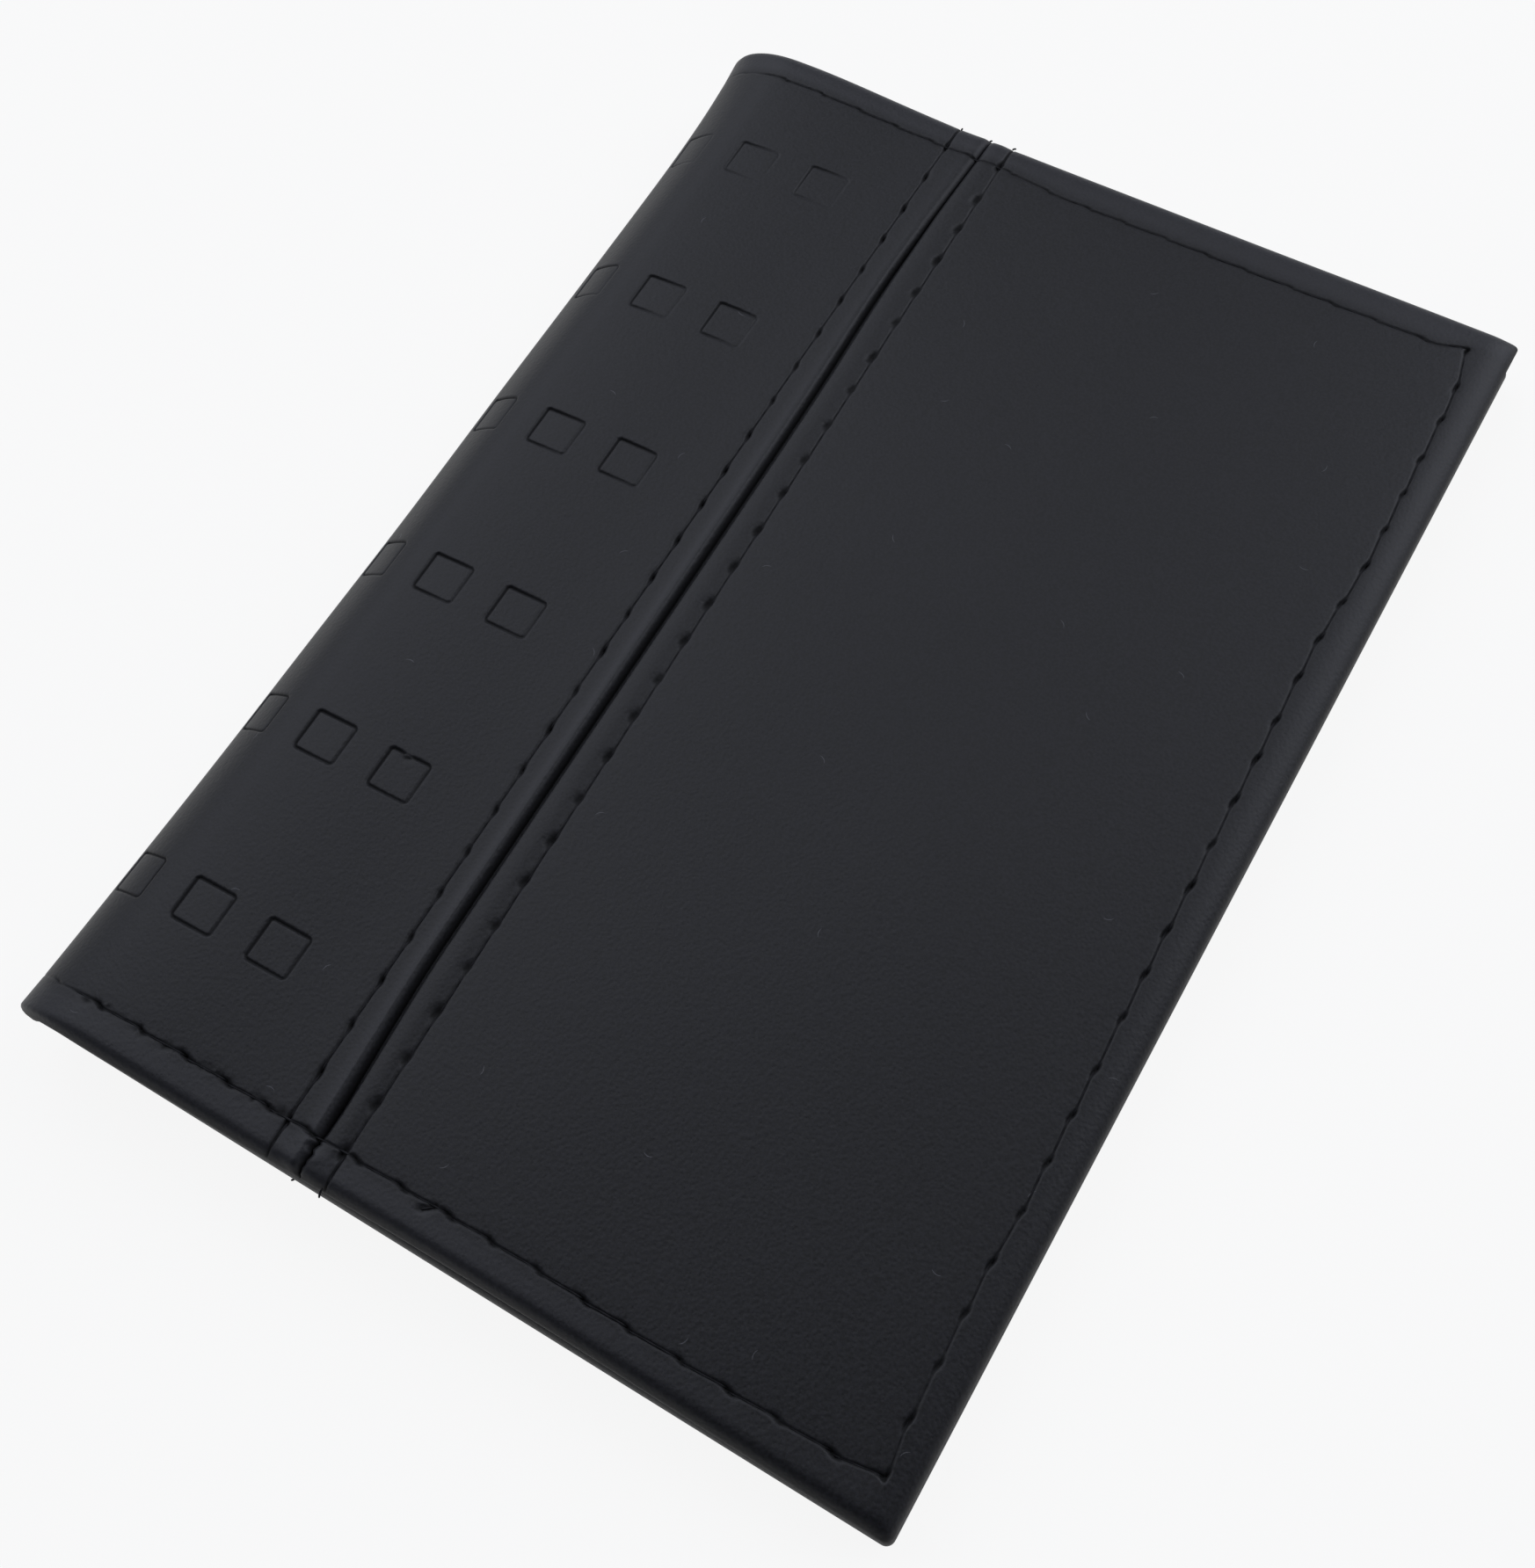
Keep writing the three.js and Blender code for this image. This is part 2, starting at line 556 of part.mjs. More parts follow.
// The spine stands on the back cover's fold line, and the front cover is the back one turned over about the
// middle plane of the spine.
const backFold = foldPoint(foldStart, 0, 0).applyAxisAngle(new THREE.Vector3(0, 1, 0), lean);
const wallet = new THREE.Group();
wallet.position.x = (FOLD_REACH - COVER_WIDTH) / 2;
wallet.add(coverPieces('back'));

const spine = new THREE.Group();
spine.position.copy(backFold).negate();
spine.rotation.y = lean;
spine.add(...spinePieces());
wallet.add(spine);

const turnedOver = new THREE.Group();
turnedOver.rotation.x = Math.PI;
const leaning = new THREE.Group();
leaning.rotation.y = -lean;
const frontCover = coverPieces('front');
frontCover.position.copy(backFold);
spine.add(turnedOver);
turnedOver.add(leaning);
leaning.add(frontCover);

export default wallet;
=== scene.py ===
# %% [markdown]
# # A document wallet, closed like a book
# The wallet lies on its back cover: two padded leather covers, a soft folded spine, and a sleeve
# pocket inside each cover. The imported solids are the fixed frame. They say where each piece is, and
# the pieces made here say what leather, cloth and thread look like there. First the frame is loaded.

# %% Load the frame
import math

import bmesh
import bpy
import numpy as np
from mathutils import Matrix, Vector


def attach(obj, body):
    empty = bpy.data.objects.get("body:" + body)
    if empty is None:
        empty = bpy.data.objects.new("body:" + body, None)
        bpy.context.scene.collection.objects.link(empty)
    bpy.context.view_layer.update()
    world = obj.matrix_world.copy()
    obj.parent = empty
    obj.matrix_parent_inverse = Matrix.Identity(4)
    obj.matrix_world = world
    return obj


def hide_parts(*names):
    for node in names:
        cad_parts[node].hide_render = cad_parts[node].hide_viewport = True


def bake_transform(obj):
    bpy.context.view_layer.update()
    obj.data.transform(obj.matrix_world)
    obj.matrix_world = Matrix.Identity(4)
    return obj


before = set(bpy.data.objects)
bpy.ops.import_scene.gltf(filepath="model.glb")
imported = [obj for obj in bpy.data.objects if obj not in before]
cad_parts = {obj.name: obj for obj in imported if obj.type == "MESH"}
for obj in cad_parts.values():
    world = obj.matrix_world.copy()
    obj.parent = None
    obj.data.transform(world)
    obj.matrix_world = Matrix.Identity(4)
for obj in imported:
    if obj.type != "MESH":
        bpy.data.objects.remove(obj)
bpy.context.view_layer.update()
MM = 0.001

# %% [markdown]
# ## The wallet's own coordinates
# A wallet is flat leather that was folded, so it is easiest to draw it unrolled. On one half, u
# runs along the leather from the fold line to the fore-edge, and below zero round the spine to its
# middle. v runs from tail to head, and depth goes from the outer face inwards. One function folds
# such points into the frame. The back half is folded directly, and the front half is its mirror
# image in the middle plane of the spine.

# %% Sizes of the wallet, in millimetres
COVER_WIDTH = 91.5
HALF_LENGTH = 72.0
FOLD_REACH = 9.0
FOLD_RISE = 5.6
HEM_HEIGHT = 2.98
COVER_STACK = 3.73
CLOSED_GAP = 0.3
FOLD_X = (FOLD_REACH - COVER_WIDTH) / 2

LEAN = math.asin((FOLD_RISE - COVER_STACK - CLOSED_GAP / 2) / COVER_WIDTH)
RUN_ON = math.atan(FOLD_REACH * math.tan(LEAN) / FOLD_RISE)


def leaned(x, z):
    """Turns a point of the spine's own plane by the lean of the covers, about the length of the
    wallet."""
    return x * math.cos(LEAN) + z * math.sin(LEAN), z * math.cos(LEAN) - x * math.sin(LEAN)


start_x, start_z = leaned(FOLD_REACH * math.sin(RUN_ON), -FOLD_RISE * math.cos(RUN_ON))
SPINE_X, SPINE_Z = FOLD_X - start_x, -start_z

fine_turns = np.linspace(-RUN_ON, np.pi / 2, 4001)
fine_x, fine_z = -FOLD_REACH * np.sin(fine_turns), -FOLD_RISE * np.cos(fine_turns)
fine_run = np.concatenate([[0.0], np.cumsum(np.hypot(np.diff(fine_x), np.diff(fine_z)))])
HALF_SPINE = float(fine_run[-1])
print(f"lean {math.degrees(LEAN):.3f} degrees, fold line to mid spine {HALF_SPINE:.2f} mm of leather")


# %% [markdown]
# ## How the real leather bows
# In the photograph the front strip rises almost a millimetre towards the fold, and the spine is a
# little narrower halfway along than at its stiff hemmed ends, more so towards the head. A soft body
# could be simulated for this, but the bow is plain to measure, so it is written down as smooth
# curves that move all layers together.

# %% Bow of the spine strip
CROWN = 0.93
CROWN_TOP = 2.5
CROWN_FROM = 23.0
CROWN_ROUND = 16.0
WAIST = (-2.15, -1.317, 1.962, 1.244, -1.199, 0.123, 1.022)
WAIST_FROM = 8.0
BACK_WAIST_START = 3.0


def ease(x):
    """Smooth step: 0 below 0, 1 above 1, and three x squared less two x cubed between."""
    x = np.clip(x, 0.0, 1.0)
    return x * x * (3.0 - 2.0 * x)


def grown(x, start, over):
    """A smooth step that leaves 0 at start and reaches 1 after a length of over."""
    return ease((x - start) / over)


def sway(side, u, v):
    """How far all layers move inwards: less the crown on the strip, plus the waist round the spine.
    The waist is a polynomial of the sixth degree along the wallet, in half lengths."""
    waist = np.polyval(WAIST, v / HALF_LENGTH)
    if side == "back":
        return waist * grown(-u, BACK_WAIST_START, WAIST_FROM)
    on_cover = ease((CROWN_FROM - u) / (CROWN_FROM - CROWN_TOP))
    round_fold = 1.0 - ease((CROWN_TOP - u) / CROWN_ROUND)
    crown = CROWN * np.where(u > CROWN_TOP, on_cover, round_fold)
    return waist * ease(-u / WAIST_FROM) - crown


def mirrored(x, z):
    """A point of the back half, mirrored in the middle plane of the spine."""
    from_plane = (x - SPINE_X) * math.sin(LEAN) + (z - SPINE_Z) * math.cos(LEAN)
    return x - 2 * from_plane * math.sin(LEAN), z - 2 * from_plane * math.cos(LEAN)


def place(side, u, v, depth):
    """Folds leather coordinates into the frame: straight along the cover where u is above 0, and
    round a half ellipse at the same run of leather where u is below 0. The front half is mirrored
    in the spine's plane."""
    u, v, depth = np.broadcast_arrays(*(np.asarray(given, float) for given in (u, v, depth)))
    deep = depth + sway(side, u, v)
    turn = np.interp(-u, fine_run, fine_turns)
    across, up = -(FOLD_REACH - deep) * np.sin(turn), -(FOLD_RISE - deep) * np.cos(turn)
    bent_x, bent_z = leaned(across, up)
    x = np.where(u < 0, SPINE_X + bent_x, FOLD_X + u)
    z = np.where(u < 0, SPINE_Z + bent_z, deep)
    if side == "front":
        x, z = mirrored(x, z)
    return np.stack([x, v, z], axis=-1)


fold_line = place("front", 0.0, 0.0, CROWN)
print("front fold line at", np.round(fold_line, 3))

# %% [markdown]
# ## The camera
# The four stitch lines of the front cover are straight and square on the real wallet, so their
# corners in the photograph fix the camera. Its place and aim are given from the corner where the
# outer seam line meets the tail line, in the plane of the front cover. A 36 mm sensor fits the
# longer side, the height of the picture.

# %% Camera
SEAM_CORNER = (29.75, -67.5)
CAMERA_PLACE = Vector((64.0, -11.1, 169.6))
CAMERA_AIM = Vector((16.1, 52.06, 0.0))
UPRIGHT_TURN = math.radians(30.03)
FOCAL_PIXELS, PICTURE_HEIGHT, SENSOR = 2103.0, 1784.0, 36.0

corner = Vector(place("front", SEAM_CORNER[0], SEAM_CORNER[1], 0.0))
plane = Matrix.Rotation(2 * LEAN, 3, "Y")
forward = (CAMERA_AIM - CAMERA_PLACE).normalized()
upright = Vector((-math.sin(UPRIGHT_TURN), math.cos(UPRIGHT_TURN), 0.0))
right = forward.cross(upright).normalized()
upward = right.cross(forward)
turned = plane @ Matrix((right, upward, -forward)).transposed()

camera = bpy.data.objects.new("camera", bpy.data.cameras.new("camera"))
camera.data.sensor_width = SENSOR
camera.data.lens = FOCAL_PIXELS * SENSOR / PICTURE_HEIGHT
camera.matrix_world = Matrix.Translation((corner + plane @ CAMERA_PLACE) * MM) @ turned.to_4x4()
bpy.context.collection.objects.link(camera)
bpy.context.scene.camera = camera
stand = [round(x / MM, 2) for x in camera.matrix_world.translation]
print("camera at", stand, "mm, lens", round(camera.data.lens, 2), "mm")

# %% [markdown]
# ## Meshes from grids
# Every piece is a set of rectangular grids of points, worked out as whole arrays. Three small
# helpers turn them into a mesh: one makes the quads of a grid, one gives the lines of a grid with
# finer spacing where there is detail, and one builds the object, welds the shared borders and turns
# all faces outwards.


# %% Grid helpers
WELD = 2e-7


def quads(index):
    """The four corners of each cell of a two-way array of point numbers."""
    cells = [index[:-1, :-1], index[1:, :-1], index[1:, 1:], index[:-1, 1:]]
    return np.stack(cells, axis=-1).reshape(-1, 4)


def lines(start, end, step, near=(), offsets=(), least=0.07):
    """Grid lines from start to end at about one step, with extra lines at offsets from each place
    in near. Plain lines that come closer than 0.45 steps to an extra one are left out, and so are
    extra lines that come closer than least to another."""
    plain = np.linspace(start, end, int(round((end - start) / step)) + 1)
    extra = np.add.outer(np.asarray(near, float), np.asarray(offsets, float)).ravel()
    extra = np.unique(np.round(extra[(extra > start) & (extra < end)], 4))
    if extra.size:
        extra = extra[np.concatenate([[True], np.diff(extra) > least])]
        clear = np.abs(plain[:, None] - extra[None, :]).min(axis=1) > 0.45 * step
        clear[[0, -1]] = True
        plain = plain[clear]
    return np.unique(np.concatenate([plain, extra]))


def make_piece(name, points, faces, flat_faces=(), marks=None, uv=None):
    """Makes a mesh object from points in millimetres and lists of faces. marks holds one number per
    point for each named attribute, and uv one pair per point. Borders that meet are welded and
    faces turn outwards."""
    mesh = bpy.data.meshes.new(name)
    every = [list(face) for face in faces] + [list(face) for face in flat_faces]
    mesh.from_pydata((np.asarray(points) * MM).tolist(), [], every)
    smooth = np.ones(len(every), bool)
    smooth[len(every) - len(flat_faces):] = False
    mesh.polygons.foreach_set("use_smooth", smooth)
    for mark, values in (marks or {}).items():
        layer = mesh.attributes.new(mark, "FLOAT", "POINT")
        layer.data.foreach_set("value", np.asarray(values, np.float32))
    if uv is not None:
        corners = np.empty(len(mesh.loops), np.int32)
        mesh.loops.foreach_get("vertex_index", corners)
        layer = mesh.uv_layers.new(name="run")
        layer.data.foreach_set("uv", np.asarray(uv, np.float32)[corners].ravel())
    work = bmesh.new()
    work.from_mesh(mesh)
    bmesh.ops.remove_doubles(work, verts=work.verts, dist=WELD)
    bmesh.ops.recalc_face_normals(work, faces=work.faces)
    work.to_mesh(mesh)
    work.free()
    piece = bpy.data.objects.new(name, mesh)
    bpy.context.collection.objects.link(piece)
    print(f"{name}: {len(mesh.vertices)} points, {len(mesh.polygons)} faces")
    return piece


# %% [markdown]
# ## Sewn lines
# A lock stitch presses a thin line into the leather and leaves a lens-shaped pit at each needle hole;
# line and pits are painted dark as shade as well. On the photograph the holes are about 5 mm apart,
# not quite even, and the lines wander by up to a millimetre, as a line guided by hand does. The holes
# are drawn first, because the leather sinks where the thread goes down.

# %% Needle holes
STITCH_PITCH = 5.2
HOLE_CHANCE = 0.16
HEM_LINE = 67.5
FORE_LINE = 87.6
COVER_START = 0.6
SEAM_MIDDLE = 26.4
SEAM_LINE = {"panel": 29.95, "strip": 22.8}
chance = np.random.default_rng(20)


def needle_holes(start, end):
    """Places of the holes from start to end at about the pitch, each moved by a little chance."""
    holes = np.linspace(start, end, int(round((end - start) / STITCH_PITCH)) + 1)
    holes[1:-1] += chance.normal(0.0, HOLE_CHANCE, holes.size - 2)
    return holes


holes = {}
for side in ("back", "front"):
    holes[side, "spine"] = needle_holes(-HALF_SPINE, COVER_START)
    on_cover = needle_holes(COVER_START, FORE_LINE)
    holes[side, "hem"] = np.concatenate([holes[side, "spine"], on_cover[1:]])
    for row in ("fore", "panel_seam", "strip_seam"):
        holes[side, row] = needle_holes(-HEM_LINE, HEM_LINE)
print("needle holes:", {key: places.size for key, places in holes.items()})

# %% Where the lines wander
TAIL_DRIFT, HEAD_DRIFT = 0.5, 0.85
FORE_OUT, FORE_BACK = 0.9, 0.35


def tail_line(u):
    """v of the tail line: it drifts half a millimetre outwards on the panel and back before the
    corner."""
    return -HEM_LINE - TAIL_DRIFT * grown(u, 42.0, 26.0) * (1.0 - 0.75 * grown(u, 83.0, 4.6))


def head_line(u):
    """v of the head line: on the panel it lies almost a millimetre further in, and comes out at the
    corner."""
    return HEM_LINE - HEAD_DRIFT * grown(u, 29.0, 11.0) * (1.0 - grown(u, 84.0, 3.6))


def fore_line(v):
    """u of the fore-edge line: it swings out towards the head and a little in towards the tail."""
    out = FORE_OUT * grown(v, 24.0, 14.0) * (1.0 - grown(v, 60.5, 7.0))
    back = FORE_BACK * grown(-v, 42.0, 5.0) * (1.0 - grown(-v, 62.0, 5.0))
    return FORE_LINE + out - back


def seam_line(part, v):
    """u of a seam line: both drift towards the fold at the head, and the strip's one bows as
    well."""
    t = v / HEM_LINE
    if part == "panel":
        return SEAM_LINE["panel"] - 0.12 * t
    return SEAM_LINE["strip"] - 0.08 - 0.38 * t + 0.25 * t**2


def drawn(w, line, straight, reach=3.5):
    """Moves grid lines near a straight line over to a wandering one. The move dies out smoothly
    over the reach."""
    return w + (line - straight) * (1.0 - ease(np.abs(w - straight) / reach))


print("fore line from tail to head:", np.round(fore_line(np.linspace(-HEM_LINE, HEM_LINE, 7)), 2))

# %% How a sewn line pulls the leather in
LINE_DEPTH, LINE_SPREAD = 0.12, 0.14
PULL_DEPTH, PULL_SPREAD = 0.03, 1.1
PIT_ALONG = 0.55
SLANT = {"tail": -0.12, "head": -0.1, "fore": 0.12, "panel": 0.05, "strip": -0.04}
PIT_DEPTH = {"tail": 0.42, "head": 0.12, "fore": 0.4, "panel": 0.42, "strip": 0.38}
PIT_ASIDE = {"tail": 0.0, "head": 0.0, "fore": 0.0, "panel": -0.22, "strip": 0.0}
PIT_ACROSS = {"tail": 0.2, "head": 0.18, "fore": 0.19, "panel": 0.29, "strip": 0.22}
SIZE_LUCK, SIDE_LUCK = 7.31, 3.7
SIDE_STRAY = 0.1


def sewn(across, along, places, line):
    """Depth pulled in by a sewn line. Between two holes a narrow furrow slants across the line. At
    each hole a lens-shaped pit steps back from the end of one stitch to the start of the next. Its
    size and place vary by the fraction of a multiple of the hole's place. Furrow, pit and the wide
    soft pull round the line are bell curves."""
    after = np.clip(np.searchsorted(places, along), 1, places.size - 1)
    start, end = places[after - 1], places[after]
    share = np.clip((along - start) / (end - start), 0.0, 1.0)
    from_thread = across - SLANT[line] * (1.0 - 2.0 * share)
    furrow = LINE_DEPTH * np.exp(-((from_thread / LINE_SPREAD) ** 2))
    hole = np.where(share < 0.5, start, end)
    luck = (SIZE_LUCK * hole) % 1.0
    past = (along - hole) / (PIT_ALONG * (0.85 + 0.4 * luck))
    slanted = 1.5 * SLANT[line] * np.clip(past, -1.0, 1.0)
    astray = SIDE_STRAY * ((SIDE_LUCK * hole) % 1.0 - 0.5)
    off = across - PIT_ASIDE[line] - slanted - astray
    pit = PIT_DEPTH[line] * (0.75 + 0.5 * luck) * np.exp(-((off / PIT_ACROSS[line]) ** 2) - past**2)
    pull = PULL_DEPTH * np.exp(-((across / PULL_SPREAD) ** 2))
    return furrow + pull + pit


def hem_dip(side, u, v, soft):
    """Depth pulled in by the hem's line along tail, head and fore-edge. Each run ends within a soft
    length past the corner, and it is faint round the spine, where the leather is under no
    tension."""
    inside = ease((FORE_LINE + soft - u) / soft) * (1.0 - 0.65 * grown(-u, 1.0, 4.0))
    level = ease((HEM_LINE + soft - np.abs(v)) / soft)
    tail = sewn(v - tail_line(u), u, holes[side, "hem"], "tail") * inside
    head = sewn(v - head_line(u), u, holes[side, "hem"], "head") * inside
    fore = sewn(u - fore_line(v), v, holes[side, "fore"], "fore") * level
    return np.maximum(np.maximum(tail, head), fore)


def sewn_lines(side, u, v):
    """All sewn lines of one half: the hem, and the two lines beside the seam, which bite deeper
    through the hem."""
    dip = hem_dip(side, u, v, 0.4)
    through_hem = 1.0 + grown(np.abs(v), HEM_LINE, 0.6)
    for part in ("panel", "strip"):
        seam = sewn(u - seam_line(part, v), v, holes[side, f"{part}_seam"], part)
        dip = np.maximum(dip, through_hem * seam)
    return np.maximum(dip, torn_line(u, v)) if side == "front" else dip


print("deepest pits, in millimetres:", PIT_DEPTH)

# %% [markdown]
# The strip's tail line was gone over twice, and its holes have torn a little, so it reads as a ragged
# dark line. A few dozen extra small pits at seeded places along it give that, together with the
# painted shade that all sunk lines get, and one stray back stitch lies across the line on the panel
# side.

# %% Torn holes and the stray stitch
STRAY_STITCH = ((39.1, -68.45), (40.4, -67.4))
STRAY_DEPTH, STRAY_SPREAD = 0.35, 0.24
TORN_COUNT = 40
torn = np.random.default_rng(31)
TORN_U = torn.uniform(-2.0, 23.0, TORN_COUNT)
TORN_V = -HEM_LINE + torn.normal(0.0, 0.16, TORN_COUNT)
TORN_SIZE = torn.uniform(0.22, 0.5, TORN_COUNT)
TORN_DEPTH = torn.uniform(0.06, 0.24, TORN_COUNT)


def torn_line(u, v):
    """Depth of the torn holes on the strip's tail line and of the furrow under the stray stitch:
    round bells for the holes, and a bell across the nearest point of a short straight line."""
    dip = np.zeros_like(u)
    near = (u < 24.0) & (np.abs(v + HEM_LINE) < 1.6)
    away = (u[near][:, None] - TORN_U) ** 2 + (v[near][:, None] - TORN_V) ** 2
    dip[near] = (TORN_DEPTH * np.exp(-away / TORN_SIZE**2)).max(axis=1)
    (u0, v0), (u1, v1) = STRAY_STITCH
    run_u, run_v = u1 - u0, v1 - v0
    share = np.clip(((u - u0) * run_u + (v - v0) * run_v) / (run_u**2 + run_v**2), 0.0, 1.0)
    off = np.hypot(u - u0 - share * run_u, v - v0 - share * run_v)
    return np.maximum(dip, STRAY_DEPTH * np.exp(-((off / STRAY_SPREAD) ** 2)))


print("torn holes", TORN_COUNT, "deepest", round(float(TORN_DEPTH.max()), 2), "mm")

# %% [markdown]
# ## The debossed squares
# Each square was pressed with a hot stamp whose rim bit deeper than its middle, so it shows as a thin
# dark outline round an almost level field; its furrow is painted dark as shade as well. The distance
# to the outline of a square with slightly round corners gives both: a narrow furrow where it is near
# zero, and a very small step down inside. The stamp was set by hand, so the rows are a little out of
# line and slope towards the head, it bit deeper on the fold side, and it bit less at the head. One
# square has a nick.

# %% Squares pressed into the spine strip
SQUARE = 4.75
SQUARE_ROUND = 0.4
ROW_MIDDLES = np.array([-54.2, -32.9, -11.1, 10.7, 32.1, 54.7])
ROW_SHIFT = np.array([-0.15, -0.35, -0.3, 0.2, 0.55, 0.0])
ROW_PRESS = np.array([1.1, 1.1, 1.0, 0.95, 0.8, 0.5])
ROW_TILT = np.array([0.22, 0.25, 0.3, 0.35, 0.5, 0.8])
ROW_SLOPE = np.array([0.01, 0.022, 0.035, 0.05, 0.063, 0.075])
ROW_CENTRE, ROW_REACH = 8.0, 6.0
TILT_HEAD, TILT_FOLD = 0.4, 0.85
COLUMN_MIDDLES = np.array([12.55, 3.45, -5.65])
RIM_DEPTH, RIM_SPREAD = 0.19, 0.145
FIELD_DEPTH, FIELD_RAMP = 0.04, 0.3
NICK_ROW, NICK_U, NICK_HALF, NICK_DEPTH = 1, 11.8, 0.4, 0.42


def row_rise(u, slope):
    """How far a row that slopes has risen at u, counted from its centre and only within its
    reach."""
    return slope * np.clip(u - ROW_CENTRE, -ROW_REACH, ROW_REACH)


def pressed(u, v):
    """Depth of the stamp: a bell curve across the outline, plus a step inside it, by the press of
    each row. The tilt makes it deeper towards fold and head. The nick moves the head side of one
    outline in by a bell curve."""
    number = np.abs(v[..., None] - ROW_MIDDLES).argmin(axis=-1)
    shifted = u - ROW_SHIFT[number]
    from_u = shifted - COLUMN_MIDDLES[np.abs(shifted[..., None] - COLUMN_MIDDLES).argmin(axis=-1)]
    from_v = v - ROW_MIDDLES[number] - row_rise(u, ROW_SLOPE[number])
    nicked = (number == NICK_ROW) & (from_v > 0)
    nick = NICK_DEPTH * np.exp(-(((u - NICK_U) / NICK_HALF) ** 2)) * nicked
    over_u = np.abs(from_u) - SQUARE / 2 + SQUARE_ROUND
    over_v = np.abs(from_v) + nick - SQUARE / 2 + SQUARE_ROUND
    outside = np.hypot(np.maximum(over_u, 0), np.maximum(over_v, 0))
    distance = outside + np.minimum(np.maximum(over_u, over_v), 0) - SQUARE_ROUND
    rim = RIM_DEPTH * np.exp(-((distance / RIM_SPREAD) ** 2))
    aslant = np.clip((TILT_HEAD * from_v - TILT_FOLD * from_u) / (SQUARE / 2), -1.0, 1.0)
    field = FIELD_DEPTH * ease(-distance / FIELD_RAMP)
    return ROW_PRESS[number] * (1.0 + ROW_TILT[number] * aslant) * (rim + field)


print("squares on one half of the strip:", ROW_MIDDLES.size, "rows by", COLUMN_MIDDLES.size)

# %% [markdown]
# ## The edges of the leather
# Round head, fore-edge and tail the skin rolls over and is turned in as a hem, 9 mm wide, whose raw
# edge lies on the lining. Shade is painted darker on the roll, most of all along the tail, and a
# highlight is painted lighter on the flat of the hems. Beside the seam the skin rolls down into an
# open valley, which is painted dark as shade. The strip's roll is wide, with a crest that gets a
# painted highlight, and the panel's is tight. At the head the valley narrows to a line, and at the
# tail the hem pinches it shut, so that only a ragged crease goes on to the edge.

# %% Rolls and edges
HEM_ROLL = HEM_HEIGHT / 2
HEM_REACH = 2.4
TAIL_REACH = 0.68
FORE_REACH = 3.4
HEM_TURN = 9.0
HEM_WALL = 1.2
TURN_BASE = 2.28
SKIN = 1.0
POCKET_MOUTH = 33.5
HALF_SEAM = 0.5
SEAM_DEPTH = 1.42
SEAM_FOOT = 0.1
SEAM_REACH = {"strip": 0.75, "panel": 0.6}
SEAM_DROP = {"strip": 1.25, "panel": 1.1}
VALLEY_LEAST, VALLEY_MORE = 0.03, 0.07
FORE_SKEW = 0.9
TAIL_CORNER, HEAD_CORNER = 0.9, 0.55
# share of painted shade on the rolls of the edges, in the seam's valley and on the front's turned hem
EDGE_SHADE = 0.85
ROLL_ANGLES = np.linspace(0.0, np.pi / 2, 9)


def rolled(inset, reach, drop):
    """Depth of a rounded edge at an inset from it: a quarter ellipse, upright at the edge and level
    at its reach."""
    share = 1.0 - np.clip(inset / reach, 0.0, 1.0)
    return drop * (1.0 - np.sqrt(np.maximum(1.0 - share**2, 0.0)))


def valley(v):
    """Middle, half width and depth share of the seam's valley: it swings out at both ends, narrows
    to a line at the head, and at the tail hem becomes a shallow crease that wanders by two small
    waves."""
    pinch = grown(v, -67.0, 3.0) * ease((69.0 - v) / 24.0)
    middle = SEAM_MIDDLE - 0.38 * np.exp(-(((v - 46.0) / 12.0) ** 2)) + 0.5 * grown(v, 56.0, 18.0)
    middle = middle + 0.8 * grown(-v, 46.0, 22.0)
    crease = grown(-v, 66.8, 1.6)
    middle = middle - crease * (0.12 + 0.1 * np.sin(5.1 * v) + 0.07 * np.sin(11.3 * v))
    depth = 1.0 - 0.35 * grown(-v, 66.3, 1.8) - 0.55 * grown(v, 40.0, 24.0)
    return middle, VALLEY_LEAST + VALLEY_MORE * pinch, depth


def hem_reach(u, v):
    """Width of the hem's roll: full along the head of the cover, a third less along the tail, and
    half of that round the spine, where the edge is sharper."""
    return HEM_REACH * (0.5 + 0.5 * grown(u, -8.0, 10.0)) * np.where(v < 0, TAIL_REACH, 1.0)


def fore_edge(v):
    """u of the fore-edge, which was cut slightly out of square: wider at the head than at the
    tail."""
    return COVER_WIDTH + FORE_SKEW * v / HALF_LENGTH


def end_shift(side, u, v):
    """v with the tail and head edges drawn in from the nominal length. The front's tail edge bows
    in beside the seam, where the back's straight one shows under it. Only the band outside the hem
    line moves."""
    tail = 0.66 - 0.0091 * np.maximum(u, 0.0)
    if side == "front":
        tail = 0.35 + 0.25 * grown(u, 15.0, 25.0) - 0.8 * grown(u, 40.0, 60.0)
    head = 0.3 + 0.25 * grown(u, 15.0, 20.0)
    band = HEM_LINE + 0.5
    outside = np.clip((np.abs(v) - band) / (HALF_LENGTH - band), 0.0, 1.0)
    return v - np.sign(v) * outside * np.where(v < 0, tail, head)


def round_corner(u, v):
    """Rounds the two fore-edge corners in plan, the tail one more: the square there is squeezed
    towards its disc."""
    edge = fore_edge(v)
    radius = np.where(v < 0, TAIL_CORNER, HEAD_CORNER)
    a = np.clip((u - edge + radius) / radius, 0.0, 1.0)
    b = np.clip((np.abs(v) - HALF_LENGTH + radius) / radius, 0.0, 1.0)
    less_u = radius * a * (1.0 - np.sqrt(1.0 - b * b / 2))
    less_v = radius * b * (1.0 - np.sqrt(1.0 - a * a / 2))
    return u - less_u, v - np.sign(v) * less_v


# %% Soft unevenness of hand-finished leather
SKIN_HILLS, LINING_HILLS, POCKET_HILLS = (34.0, 0.1, 5), (16.0, 0.1, 12), (30.0, 0.1, 9)
STRIP_PUFF, PANEL_PUFF, FOLD_PUFF = 0.24, 0.11, 0.2


